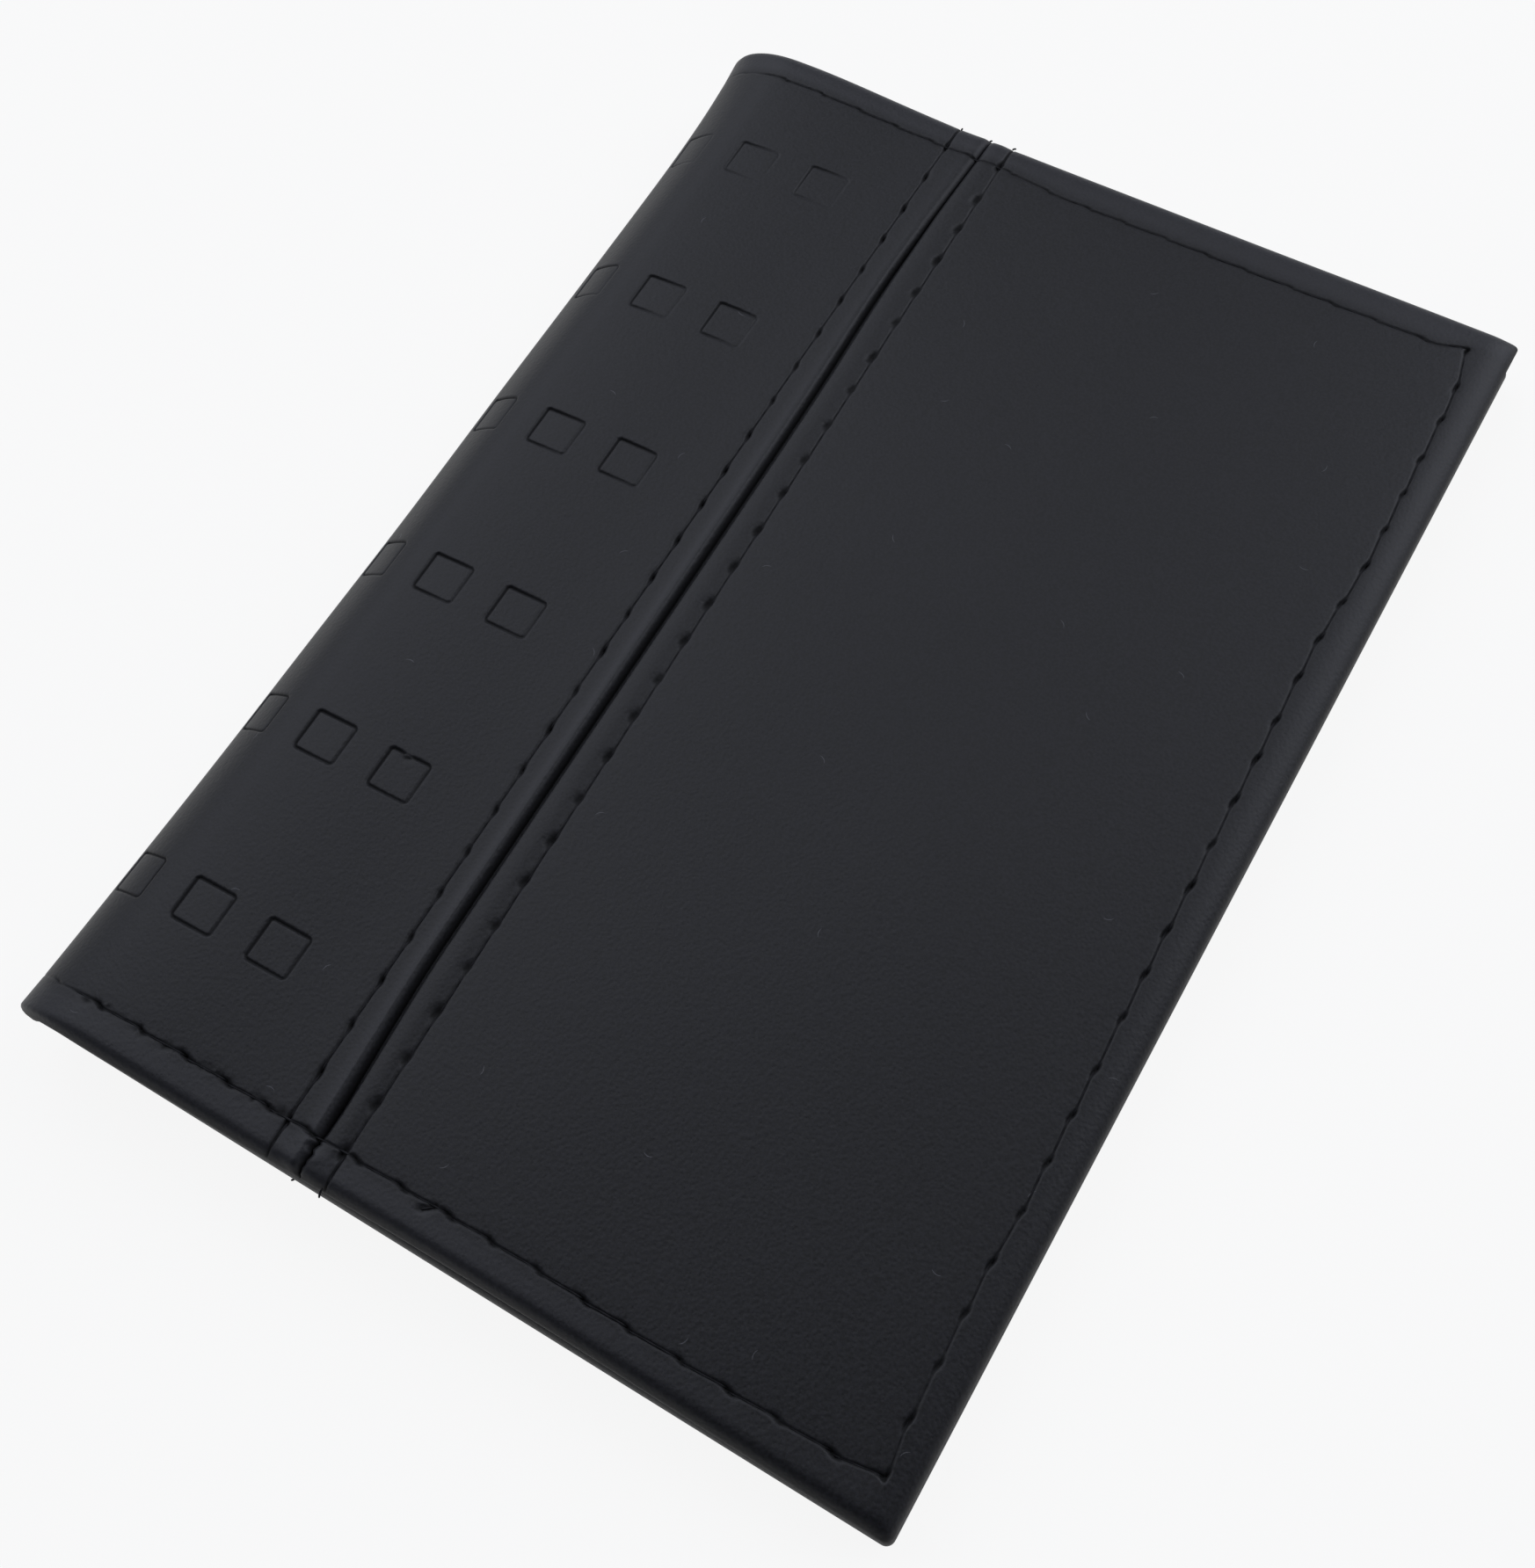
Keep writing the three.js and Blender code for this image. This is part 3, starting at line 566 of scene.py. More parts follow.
def soft_waves(u, v, size, height, seed):
    """Gentle hills: the mean of eight plane waves of about one size, with chance headings and
    phases. The hills of each layer are named above by their size, height and seed."""
    pick = np.random.default_rng(seed)
    heading, phase = pick.uniform(0, np.pi, 8), pick.uniform(0, 2 * np.pi, 8)
    length = size * pick.uniform(0.7, 1.6, 8)
    wave = u[..., None] * (np.cos(heading) / length) + v[..., None] * (np.sin(heading) / length)
    return height * np.sin(2 * np.pi * wave + phase).mean(axis=-1)


def seam_puff(u, v, part):
    """The band between a seam line and the valley swells: on the strip to a crest near the valley,
    which dies out towards the head, and less on the panel, where a small fold stands up beside the
    tail crease."""
    middle, half, _ = valley(v)
    line = seam_line(part, v)
    if part == "strip":
        share = (u - line) / (middle - half - line)
        height = (STRIP_PUFF + 0.06 * grown(-v, 35.0, 20.0)) * (1.0 - 0.6 * grown(v, 5.0, 45.0))
        return height * np.sin(np.pi * np.clip(share, 0, 1) ** 2.6) ** 2
    share = (line - u) / (line - middle - half)
    fold = FOLD_PUFF * np.exp(-(((u - middle - 0.7) / 0.5) ** 2) - ((v + 69.4) / 0.9) ** 2)
    return PANEL_PUFF * np.sin(np.pi * np.clip(share, 0, 1)) ** 2 + fold


# %% Grid lines for the leather
FINE = np.array([-0.8, -0.5, -0.35, -0.24, -0.16, -0.08, 0.0, 0.08, 0.16, 0.24, 0.35, 0.5, 0.8])
RIM = np.array([-0.42, -0.3, -0.2, -0.13, -0.06, 0.0, 0.06, 0.13, 0.2, 0.3, 0.42])
STEP = 0.4
edge_insets = HEM_REACH * (1.0 - np.cos(ROLL_ANGLES))


def lengthwise_lines(marks=()):
    """Lines across the wallet's length, fine at the hem lines and, on the strip, at the rims of the
    squares."""
    reach = HALF_LENGTH - HEM_REACH
    inner = lines(-reach, reach, STEP, (-HEM_LINE, HEM_LINE), FINE)
    if len(marks):
        rims = np.concatenate([marks - SQUARE / 2, marks + SQUARE / 2])
        near = np.add.outer(rims, RIM).ravel()
        inner = inner[np.abs(inner[:, None] - near[None, :]).min(axis=1) > 0.1]
        inner = np.unique(np.concatenate([inner, near]))
    tail = -HALF_LENGTH + edge_insets[:-1]
    return np.concatenate([tail, inner, -tail[::-1]])


counts = lengthwise_lines().size, lengthwise_lines(ROW_MIDDLES).size
print("lines along the panel and the strip:", counts)

# %% [markdown]
# ## One leather skin
# A skin has an outer face, a rolled edge, and a hem turned in over the lining. The outer face is a
# grid whose depth joins the roll of the seam side with the roll of the hem. The turned hem is a
# second set of grids that starts on the same border. Hidden faces close the skin inside, so it is
# one closed body like the real leather.

# %% Turned hem in section
hem_angles = np.linspace(0.0, np.pi / 2, 7)[1:]
FLAT_INSETS = (2.2, 3.3, 4.05, 4.28, 4.5, 4.72, 4.95, 5.7, 7.2, 8.5)
TURNED = np.array(
    [(HEM_ROLL * (1 - math.cos(a)), HEM_ROLL * (1 + math.sin(a))) for a in hem_angles]
    + [(inset, HEM_HEIGHT) for inset in FLAT_INSETS]
    + [(8.93, HEM_HEIGHT - 0.02), (HEM_TURN, HEM_HEIGHT - 0.1)]
    + [(HEM_TURN, TURN_BASE + 0.08), (8.95, TURN_BASE)]
    + [(HEM_WALL, TURN_BASE), (HEM_WALL, SKIN)]
)
RAW_START = len(hem_angles) + len(FLAT_INSETS)
RAW_ROWS = slice(RAW_START, RAW_START + 4)
CAP_LINES = 13
# painted shade in sunk lines, pits and square outlines starts at the first depth and is full at the
# second one deeper
DARK_FROM, DARK_OVER = 0.06, 0.12
print("turned hem in", len(TURNED), "rows")


def skin_relief(side, u, v, part):
    """What stands out of the smooth outer face, swells and soft hills less sewn lines and pressed
    squares, and how far each sunk point is painted dark as shade, from 0 to 1. The back lies on its
    face, which presses its swells and hills flat."""
    sunk_and_shade = sewn_lines(side, u, v)
    if part == "strip":
        sunk_and_shade = np.maximum(sunk_and_shade, pressed(u, v))
    relief = -sunk_and_shade
    if side == "front":
        relief = seam_puff(u, v, part) + soft_waves(u, v, *SKIN_HILLS) - sunk_and_shade
    return relief, np.clip((sunk_and_shade - DARK_FROM) / DARK_OVER, 0.0, 1.0)


# %% Outer face
# place and width of the painted highlight along the strip's crest
CREST_ASIDE, CREST_SPREAD = 1.2, 0.55


def drawn_grid(part, across, along):
    """u and v of an outer face: a straight grid, moved over to the sewn lines and the valley, and
    on the panel to the fore-edge, on the strip to the sloping rows of squares."""
    u, v = np.meshgrid(across, along, indexing="ij")
    v = drawn(drawn(v, tail_line(u), -HEM_LINE), head_line(u), HEM_LINE)
    middle, half, _ = valley(v)
    u = drawn(u, seam_line(part, v), SEAM_LINE[part], 2.0)
    if part == "panel":
        u = drawn(u, fore_line(v), FORE_LINE)
        near_seam = 1.0 - ease((u - SEAM_MIDDLE - HALF_SEAM) / 2.4)
        u = u + (middle + half - SEAM_MIDDLE - HALF_SEAM) * near_seam
        return u + (fore_edge(v) - COVER_WIDTH) * grown(u, 88.2, 2.6), v
    near_rows = grown(u, -HALF_SPINE, 3.5) * ease((21.0 - u) / 5.0)
    u = u + np.interp(v, ROW_MIDDLES, ROW_SHIFT) * near_rows
    rise = row_rise(u, np.interp(v, ROW_MIDDLES, ROW_SLOPE))
    v = v + rise * near_rows * ease((65.5 - np.abs(v)) / 7.0)
    near_seam = 1.0 - ease((SEAM_MIDDLE - HALF_SEAM - u) / 2.2)
    return u + (middle - half - SEAM_MIDDLE + HALF_SEAM) * near_seam, v


def joined(first, second):
    """Depth where two rolls of depth r meet: r less (r - a)(r - b) / r, which is r at either
    edge."""
    return HEM_ROLL - (HEM_ROLL - first) * (HEM_ROLL - second) / HEM_ROLL


def highlight_share(u, v, part, depth):
    """Share of the painted highlight: full on the flat of the head hem, less along the tail and least
    along the fore-edge, and on the strip along a crest beside the valley, as a bell curve. None is
    left on the rolls."""
    at_tail = 0.8 * ease((tail_line(u) - v - 0.2) / 1.2) * (1.0 - 0.7 * grown(u, 40.0, 40.0))
    painted_highlight = np.maximum(at_tail, ease((v - head_line(u) - 0.2) / 1.2))
    if part == "panel":
        beside = 0.25 * ease(u - fore_line(v) - 0.2)
    else:
        middle, half, _ = valley(v)
        crest = np.exp(-(((u - middle + half + CREST_ASIDE) / CREST_SPREAD) ** 2))
        beside = crest * (1.0 - 0.75 * grown(v, 5.0, 45.0))
    return np.maximum(painted_highlight, beside) * ease((HEM_ROLL - depth) / 0.8)


def outer_face(side, part, across, seam_depth, along):
    """Leather coordinates of an outer face, and at each point the share of painted shade and the
    share of painted highlight. across and along are its grid lines and seam_depth the roll at the
    seam."""
    u, v = drawn_grid(part, across, along)
    fall = seam_depth[:, None]
    fore = rolled(fore_edge(v) - u, FORE_REACH, HEM_ROLL) if part == "panel" else 0.0 * u
    edge = rolled(HALF_LENGTH - np.abs(v), hem_reach(u, v), HEM_ROLL)
    hem = joined(fore, edge)
    depth = joined(hem, fall * valley(v)[2])
    relief, sunk_and_shade = skin_relief(side, u, v, part)
    fade = ease((HEM_ROLL - depth) / 1.2)
    # painted shade: on the tail's roll and on the rolls of the hems, then in the seam's valley, less
    # towards the head
    painted_edge_shade = EDGE_SHADE * np.maximum(grown(edge, 0.1, 0.9) * (v < 0), 0.6 * grown(hem, 0.8, 0.6))
    painted_edge_shade = np.maximum(painted_edge_shade, grown(fall, 0.12, 0.5) * (0.9 - 0.5 * grown(v, 40.0, 20.0)))
    return u, v, depth - relief * fade, np.maximum(sunk_and_shade * fade, painted_edge_shade), highlight_share(u, v, part, depth)


def face_lines(part):
    """Grid lines across an outer face, the depth of the seam's roll at each of them, and lines
    along the face."""
    reach, drop = SEAM_REACH[part], SEAM_DROP[part]
    roll = reach * (1.0 - np.cos(ROLL_ANGLES))[:-1]
    fall = rolled(roll, reach, drop)
    foot = [SEAM_DEPTH, drop + SEAM_FOOT]
    if part == "panel":
        edge = SEAM_MIDDLE + HALF_SEAM
        near = (SEAM_LINE[part], FORE_LINE)
        face = lines(edge + reach, COVER_WIDTH - HEM_REACH, STEP, near, FINE)
        at_fore = COVER_WIDTH - edge_insets[:-1][::-1]
        across = np.concatenate([[edge] * 2, edge + roll, face, at_fore])
        return across, np.concatenate([foot, fall, 0 * face, 0 * fall]), lengthwise_lines()
    edge = SEAM_MIDDLE - HALF_SEAM
    squares = np.concatenate([COLUMN_MIDDLES - SQUARE / 2, COLUMN_MIDDLES + SQUARE / 2])
    at_mid_spine = -HALF_SPINE + np.array([0.04, 0.12, 0.24])
    rims = np.add.outer(squares, RIM).ravel()
    near = np.concatenate([rims, SEAM_LINE[part] + FINE, at_mid_spine])
    face = lines(-HALF_SPINE, edge - reach, STEP, near, (0.0,), 0.05)
    across = np.concatenate([face, edge - roll[::-1], [edge] * 2])
    return across, np.concatenate([0 * face, fall[::-1], foot[::-1]]), lengthwise_lines(ROW_MIDDLES)


counts = [face_lines(part)[0].size for part in ("panel", "strip")]
print("lines across the panel and the strip:", counts)

# %% Build a skin from its outer face and its turned hem
def leather_skin(side, part):
    """One closed leather skin: outer face, turned hem along its outer edges, and hidden faces inside.
    Each grid holds u, v, depth and three marks: painted shade, raw core and painted highlight."""
    across, seam_depth, along = face_lines(part)
    u, v, depth, sunk_and_shade, painted_highlight = outer_face(side, part, across, seam_depth, along)
    index = np.arange(u.size).reshape(u.shape)
    grids, faces, ends = [(u, v, depth, sunk_and_shade, 0.0 * u, painted_highlight)], [quads(index)], {}
    inset, level = TURNED[:, 0], TURNED[:, 1]
    under = np.maximum(SKIN, seam_depth + 0.02)
    flat_rows = np.zeros(inset.size - hem_angles.size)
    # painted shade on the front's turned rolls, none on the back's
    painted_edge_shade = EDGE_SHADE * np.append(np.cos(hem_angles / 2), flat_rows) * (side == "front")

    def numbered(shape):
        first = sum(grid[0].size for grid in grids)
        return first + np.arange(shape[0] * shape[1]).reshape(shape)

    def turn_in(end, border, ring, dark):
        raw = np.zeros_like(ring[0])
        raw[:, RAW_ROWS] = 1.0
        number = numbered(raw.shape)
        if end == "fore":
            number[0], number[-1] = ends["tail"][-1, 1:], ends["head"][-1, 1:]
        ends[end] = np.concatenate([border[:, None], number], axis=1)
        faces.append(quads(ends[end]))
        grids.append((*ring, dark + 0.0 * raw, raw, 0.0 * raw))

    for end, column, sign, line in (("tail", 0, -1.0, tail_line), ("head", -1, 1.0, head_line)):
        base = u[:, column]
        if part == "panel":
            ring_u = base[0] + (base[:, None] - base[0]) * (1.0 - inset / (base[-1] - base[0]))
        else:
            ring_u = np.repeat(base[:, None], inset.size, axis=1)
        ring_v = np.broadcast_to(sign * (HALF_LENGTH - inset), ring_u.shape)
        dip = sewn(ring_v - line(ring_u), ring_u, holes[side, "hem"], end)
        dip = dip * ease(POCKET_MOUTH + 1.0 - ring_u)
        ring_depth = level - dip * (level == HEM_HEIGHT)
        ring_depth[:, -1] = under
        # painted shade in the hem's stitch dips and on the front's turned rolls
        turn_in(end, index[:, column], (ring_u, ring_v, ring_depth), np.maximum(0.6 * dip, painted_edge_shade))
    if part == "panel":
        ring_u = fore_edge(v[-1])[:, None] - inset
        ring_v = v[-1][:, None] * (1.0 - inset / HALF_LENGTH)
        turn_in("fore", index[-1], (ring_u, ring_v, np.broadcast_to(level, ring_u.shape)), painted_edge_shade)
    share = np.linspace(0.0, 1.0, CAP_LINES)[1:-1]
    tail_u, head_u = grids[1][0][:, -1], grids[2][0][:, -1]
    cap_u = tail_u[:, None] + (head_u - tail_u)[:, None] * share
    cap_v = np.broadcast_to((HALF_LENGTH - HEM_WALL) * (2.0 * share - 1.0), cap_u.shape)
    number = numbered(cap_u.shape)
    cap = np.concatenate([ends["tail"][:, -1:], number, ends["head"][:, -1:]], axis=1)
    bare = 0.0 * cap_u
    grids.append((cap_u, cap_v, bare + under[:, None], bare, bare, bare))

    def end_face(row):
        border = list(index[row]) + list(ends["head"][row, 1:]) + list(cap[row, ::-1][1:-1])
        return border + list(ends["tail"][row, 1:][::-1])

    if part == "panel":
        faces.append(quads(cap[:-1]))
        closing = [end_face(0), list(cap[-2]) + list(ends["fore"][:, -1][::-1])]
    else:
        faces.append(quads(cap))
        closing = [end_face(0), end_face(-1)]
    columns = (np.concatenate([np.ravel(grid) for grid in column]) for column in zip(*grids))
    u, v, depth, sunk_and_shade, raw, painted_highlight = columns
    if part == "panel":
        u, v = round_corner(u, v)
    points = place(side, u, end_shift(side, u, v), depth)
    name = f"{side}_cover_leather" if part == "panel" else f"{side}_spine_leather"
    # marks: painted shade, the raw core, and a painted highlight
    marks = {"painted_shade": sunk_and_shade, "raw_edge": raw, "painted_highlight": painted_highlight}
    return make_piece(name, points, np.concatenate(faces).tolist(), closing, marks)


skins = {}
for side in ("back", "front"):
    for part in ("panel", "strip"):
        skins[side, part] = leather_skin(side, part)

# %% [markdown]
# ## Slabs: foam, tape, lining and pockets
# The layers under the skin are slabs of even thickness that follow the same fold. A slab is a grid
# carried at two depths, with its four sides closed. The pockets get the pull of the inner stitches,
# a pressed line along the mouth, and a mouth that stands a little open.


# %% Slabs
SOFT_EDGE = 0.12


def slab(name, side, u, v, low, high, raw_sides=False):
    """A closed slab between two depth arrays over a grid, with the sides as one more ring of quads.
    The middle of each side stands out a little, so that cut edges look soft."""
    size = u.size
    top = np.arange(size).reshape(u.shape)
    low, high = np.broadcast_to(low, u.shape), np.broadcast_to(high, u.shape)
    rim = np.concatenate([top[:, 0], top[-1, 1:], top[-2::-1, -1], top[0, -2:0:-1]])
    ring = np.append(rim, rim[0])
    rim_u, rim_v = u.ravel()[rim], v.ravel()[rim]
    middle = 2 * size + np.arange(rim.size)
    middle_ring = np.append(middle, middle[0])
    grids = [top, top + size, np.stack([ring, middle_ring]), np.stack([middle_ring, ring + size])]
    faces = np.concatenate([quads(grid) for grid in grids])
    out_u, out_v = np.zeros_like(u), np.zeros_like(v)
    out_u[0], out_u[-1] = 0.0 if np.isclose(u[0, 0], -HALF_SPINE) else -SOFT_EDGE, SOFT_EDGE
    out_v[:, 0], out_v[:, -1] = -SOFT_EDGE, SOFT_EDGE
    all_u = np.concatenate([u.ravel(), u.ravel(), rim_u + out_u.ravel()[rim]])
    all_v = np.concatenate([v.ravel(), v.ravel(), rim_v + out_v.ravel()[rim]])
    half = (low.ravel()[rim] + high.ravel()[rim]) / 2
    depth = np.concatenate([low.ravel(), high.ravel(), half])
    raw = np.concatenate([np.zeros(2 * size), np.full(rim.size, 1.0 if raw_sides else 0.0)])
    points = place(side, all_u, all_v, depth)
    marks = {"raw_edge": raw, "painted_shade": 0.0 * raw}
    return make_piece(name, points, faces.tolist(), (), marks, np.stack([all_u, all_v], axis=-1))


PAD_END = HALF_LENGTH - 1.8
PAD_FORE = 90.0
PANEL_FOAM_START, STRIP_FOAM_END = 35.3, 17.5
FOAM_DEPTHS = (1.06, 1.86)
TAPE_START, TAPE_WIDTH = 18.0, 16.8
TAPE_DEPTHS = (1.46, 1.64)
foam, tapes, linings, pockets = {}, {}, {}, {}
for side in ("back", "front"):
    along = np.linspace(-PAD_END, PAD_END, 48)
    on_panel = np.meshgrid(np.linspace(PANEL_FOAM_START, PAD_FORE, 30), along, indexing="ij")
    on_strip = np.meshgrid(np.linspace(-HALF_SPINE, STRIP_FOAM_END, 60), along, indexing="ij")
    tape_end = TAPE_START + TAPE_WIDTH
    at_seam = np.meshgrid(np.linspace(TAPE_START, tape_end, 14), along, indexing="ij")
    foam[side, "panel"] = slab(f"{side}_cover_foam", side, *on_panel, *FOAM_DEPTHS)
    foam[side, "strip"] = slab(f"{side}_spine_foam", side, *on_strip, *FOAM_DEPTHS)
    tapes[side] = slab(f"{side}_seam_tape_cloth", side, *at_seam, *TAPE_DEPTHS)

# %% Linings
LINING_LOW, LINING_HIGH = 1.93, 2.21
for side in ("back", "front"):
    round_spine = np.linspace(-HALF_SPINE, 0.0, 40)[:-1]
    across = np.concatenate([round_spine, np.linspace(0.0, PAD_FORE, 120)])
    u, v = np.meshgrid(across, np.linspace(-PAD_END, PAD_END, 150), indexing="ij")
    slack = soft_waves(u, v, *LINING_HILLS) * ease((66 - np.abs(v)) / 6) * ease((30 - u) / 4)
    low, high = LINING_LOW + slack, LINING_HIGH + slack
    linings[side] = slab(f"{side}_lining_cloth", side, u, v, low, high)

# %% Pockets
POCKET_INSET = 2.0
POCKET_STEP = 0.6
MOUTH_LINE, MOUTH_DEPTH, MOUTH_SPREAD = 2.2, 0.09, 0.3
POCKET_SKIN, POCKET_BASE = 0.45, 3.05
GAPE = 0.42
for side in ("back", "front"):
    near_u, near_v = (FORE_LINE, POCKET_MOUTH + MOUTH_LINE), (-HEM_LINE, HEM_LINE)
    across = lines(POCKET_MOUTH, COVER_WIDTH - POCKET_INSET, POCKET_STEP, near_u, FINE)
    along = lines(POCKET_INSET - HALF_LENGTH, HALF_LENGTH - POCKET_INSET, POCKET_STEP, near_v, FINE)
    u, v = np.meshgrid(across, along, indexing="ij")
    v = drawn(drawn(v, tail_line(u), -HEM_LINE, 2.4), head_line(u), HEM_LINE, 2.4)
    u = drawn(u, fore_line(v), FORE_LINE, 1.8)
    crease = MOUTH_DEPTH * np.exp(-(((u - POCKET_MOUTH - MOUTH_LINE) / MOUTH_SPREAD) ** 2))
    gape = GAPE * ease((52.0 - u) / 20.0) * (1.0 - (v / 70.0) ** 2)
    puff = soft_waves(u, v, *POCKET_HILLS)
    lift = (gape + puff * 0.5) * ease((HEM_LINE - np.abs(v)) / 12) * ease((FORE_LINE - u) / 10)
    top = COVER_STACK - 0.02 + lift - hem_dip(side, u, v, 0.5) - crease
    low = np.minimum(top - POCKET_SKIN, POCKET_BASE + lift)
    pockets[side] = slab(f"{side}_pocket_leather", side, u, v, low, top, True)

# %% [markdown]
# ## The sewing thread
# Each stitch is a short piece of thread that comes up out of one hole and goes down into the next,
# a little askew. It is drawn as a tube whose ends dive into the pits. All stitches of one line are
# made at once, as one array of stitches by rings by sides.

# %% Stitches
THREAD, END_TAPER = 0.11, 0.45
ABOVE = 0.05
RINGS, SIDES = 9, 6


def tubes(name, runs):
    """Round tubes along rows of middle points, with the points just above them for the way up. The
    tube's rings are circles across the direction of the run, drawn in at both ends and closed
    there."""
    points, faces, closing, uv, first = [], [], [], [], 0
    for middle, above in runs:
        count, rings = middle.shape[:2]
        ahead = np.gradient(middle, axis=1)
        ahead /= np.linalg.norm(ahead, axis=-1, keepdims=True)
        beside = np.cross(ahead, above - middle)
        beside /= np.linalg.norm(beside, axis=-1, keepdims=True)
        rise = np.cross(beside, ahead)[:, :, None, :]
        beside = beside[:, :, None, :]
        angle = 2.0 * np.pi * np.arange(SIDES)[:, None] / SIDES
        radius = THREAD * (1.0 - END_TAPER * np.abs(np.linspace(-1.0, 1.0, rings)) ** 8)
        circle = np.cos(angle) * beside + np.sin(angle) * rise
        points.append((middle[:, :, None, :] + radius[:, None, None] * circle).reshape(-1, 3))
        step = np.linalg.norm(np.diff(middle, axis=1), axis=-1)
        run = np.concatenate([np.zeros((count, 1)), np.cumsum(step, axis=1)], axis=1)
        turn = np.broadcast_to(np.arange(SIDES) / SIDES, (count, rings, SIDES))
        run = np.broadcast_to(run[..., None], turn.shape)
        uv.append(np.stack([run, turn], axis=-1).reshape(-1, 2))
        number = first + np.arange(turn.size).reshape(turn.shape)
        wrapped = np.concatenate([number, number[:, :, :1]], axis=2)
        cells = [wrapped[:, :-1, :-1], wrapped[:, 1:, :-1], wrapped[:, 1:, 1:], wrapped[:, :-1, 1:]]
        faces.append(np.stack(cells, axis=-1).reshape(-1, 4))
        closing += number[:, 0, ::-1].tolist() + number[:, -1, :].tolist()
        first += turn.size
    points, faces, uv = (np.concatenate(arrays) for arrays in (points, faces, uv))
    return make_piece(name, points, faces.tolist(), closing, None, uv)


def stitches(name, side, starts, ends, depth, inner=False, dive=0.34, extra=()):
    """Tubes from starts to ends, given in leather coordinates. Along a stitch the thread bows by
    the fourth power of the distance from its middle, so that it is level between the holes and
    dives at them."""
    share = np.linspace(0.0, 1.0, RINGS)
    starts, ends = np.asarray(starts, float), np.asarray(ends, float)
    way = starts[:, None, :] + (ends - starts)[:, None, :] * share[None, :, None]
    drop = dive * np.abs(2.0 * share - 1.0) ** 4
    level = np.asarray(depth, float)[..., None] + (-drop if inner else drop)
    middle = place(side, way[..., 0], way[..., 1], level)
    above = place(side, way[..., 0], way[..., 1], level - ABOVE)
    return tubes(name, [(middle, above)] + list(extra))


def between(places, across, line, lengthwise):
    """Starts and ends of the stitches between needle holes, each moved aside at its ends by the
    line's slant."""
    a, b = places[:-1], places[1:]
    low, high = across(a) + SLANT[line], across(b) - SLANT[line]
    if lengthwise:
        return np.stack([low, a], axis=-1), np.stack([high, b], axis=-1)
    return np.stack([a, low], axis=-1), np.stack([b, high], axis=-1)


def hem_stitches(side, part):
    """Starts and ends of the hem stitches on one cover, or of those round its half of the spine."""
    places = holes[side, "hem"]
    places = places[places <= COVER_START] if part == "spine" else places[places >= COVER_START]
    runs = [between(places, tail_line, "tail", False), between(places, head_line, "head", False)]
    if part == "cover":
        runs.append(between(holes[side, "fore"], fore_line, "fore", True))
    return [np.concatenate(ends) for ends in zip(*runs)]


print("stitches of the front hem:", len(hem_stitches("front", "cover")[0]))

# %% Thread of the hems
OUTER_THREAD, INNER_THREAD = 0.17, 0.2
threads = {}
for side in ("back", "front"):
    for part in ("cover", "spine"):
        starts, ends = hem_stitches(side, part)
        on_face = (starts, ends)
        if (side, part) == ("front", "cover"):
            on_face = (np.vstack([starts, STRAY_STITCH[0]]), np.vstack([ends, STRAY_STITCH[1]]))
        depth = np.full(len(on_face[0]), OUTER_THREAD)
        name = f"{side}_{part}_hem_stitches"
        threads[side, part] = stitches(name, side, *on_face, depth)
        on_pocket = (starts + ends)[:, 0] / 2 > POCKET_MOUTH
        level = np.where(on_pocket, COVER_STACK, HEM_HEIGHT) - INNER_THREAD
        name = f"{side}_{part}_inner_stitches"
        threads[side, part, "inner"] = stitches(name, side, starts, ends, level, inner=True)

# %% [markdown]
# The seam lines run on through the hems to the very edge, where their ends were snipped and a few
# short stubs stick out. A stub is one more tube, along a short curve that leaves the edge.


# %% Thread of the seam, with its snipped ends
SNIP_LINE, SNIP_DEPTH = 70.9, 0.3
STUB_LEVEL, STUB_DROOP = 0.55, 0.5
BOBBIN_DEPTH = 1.8


def stub(side, u, v, length, lean):
    """A snipped end: a short arc that leaves the edge outwards and droops, lean to the side."""
    share = np.linspace(0.0, 1.0, RINGS)
    way_u = u + lean * share**2
    way_v = v + math.copysign(length, v) * share
    depth = HEM_ROLL * STUB_LEVEL + STUB_DROOP * length * share**2
    middle = place(side, way_u, way_v, depth)[None]
    return middle, middle + np.array([ABOVE, 0.0, 0.0])


snipped = {
    ("front", "panel"): [(29.6, 71.3, 0.6, 0.2), (29.8, -71.35, 0.75, 0.1)],
    ("front", "strip"): [(22.7, 71.3, 0.55, -0.1), (26.6, 71.2, 0.5, 0.1)],
    ("back", "panel"): [(29.9, 71.3, 0.4, 0.1)],
    ("back", "strip"): [(23.4, -71.3, 0.45, -0.15)],
}
for side in ("back", "front"):
    for part in ("panel", "strip"):
        places = np.concatenate([[-SNIP_LINE], holes[side, f"{part}_seam"], [SNIP_LINE]])
        starts, ends = between(places, lambda y: seam_line(part, y), part, True)
        depth = np.full(len(starts), OUTER_THREAD)
        depth[[0, -1]] = SNIP_DEPTH
        stubs = [stub(side, *place_and_size) for place_and_size in snipped[side, part]]
        name = f"{side}_{part}_seam_stitches"
        threads[side, part, "seam"] = stitches(name, side, starts, ends, depth, extra=stubs)
        name, depth = f"{side}_{part}_seam_bobbin", np.full(len(starts), BOBBIN_DEPTH)
        threads[side, part, "bobbin"] = stitches(name, side, starts, ends, depth, dive=0.0)

# %% [markdown]
# ## Materials
# Colours are written as sRGB hex and turned to linear here. One small function adds a node with its
# settings and links. Pattern scales come from real sizes in millimetres: Object coordinates are in
# metres, so a pattern of one size has a scale of one over that size.


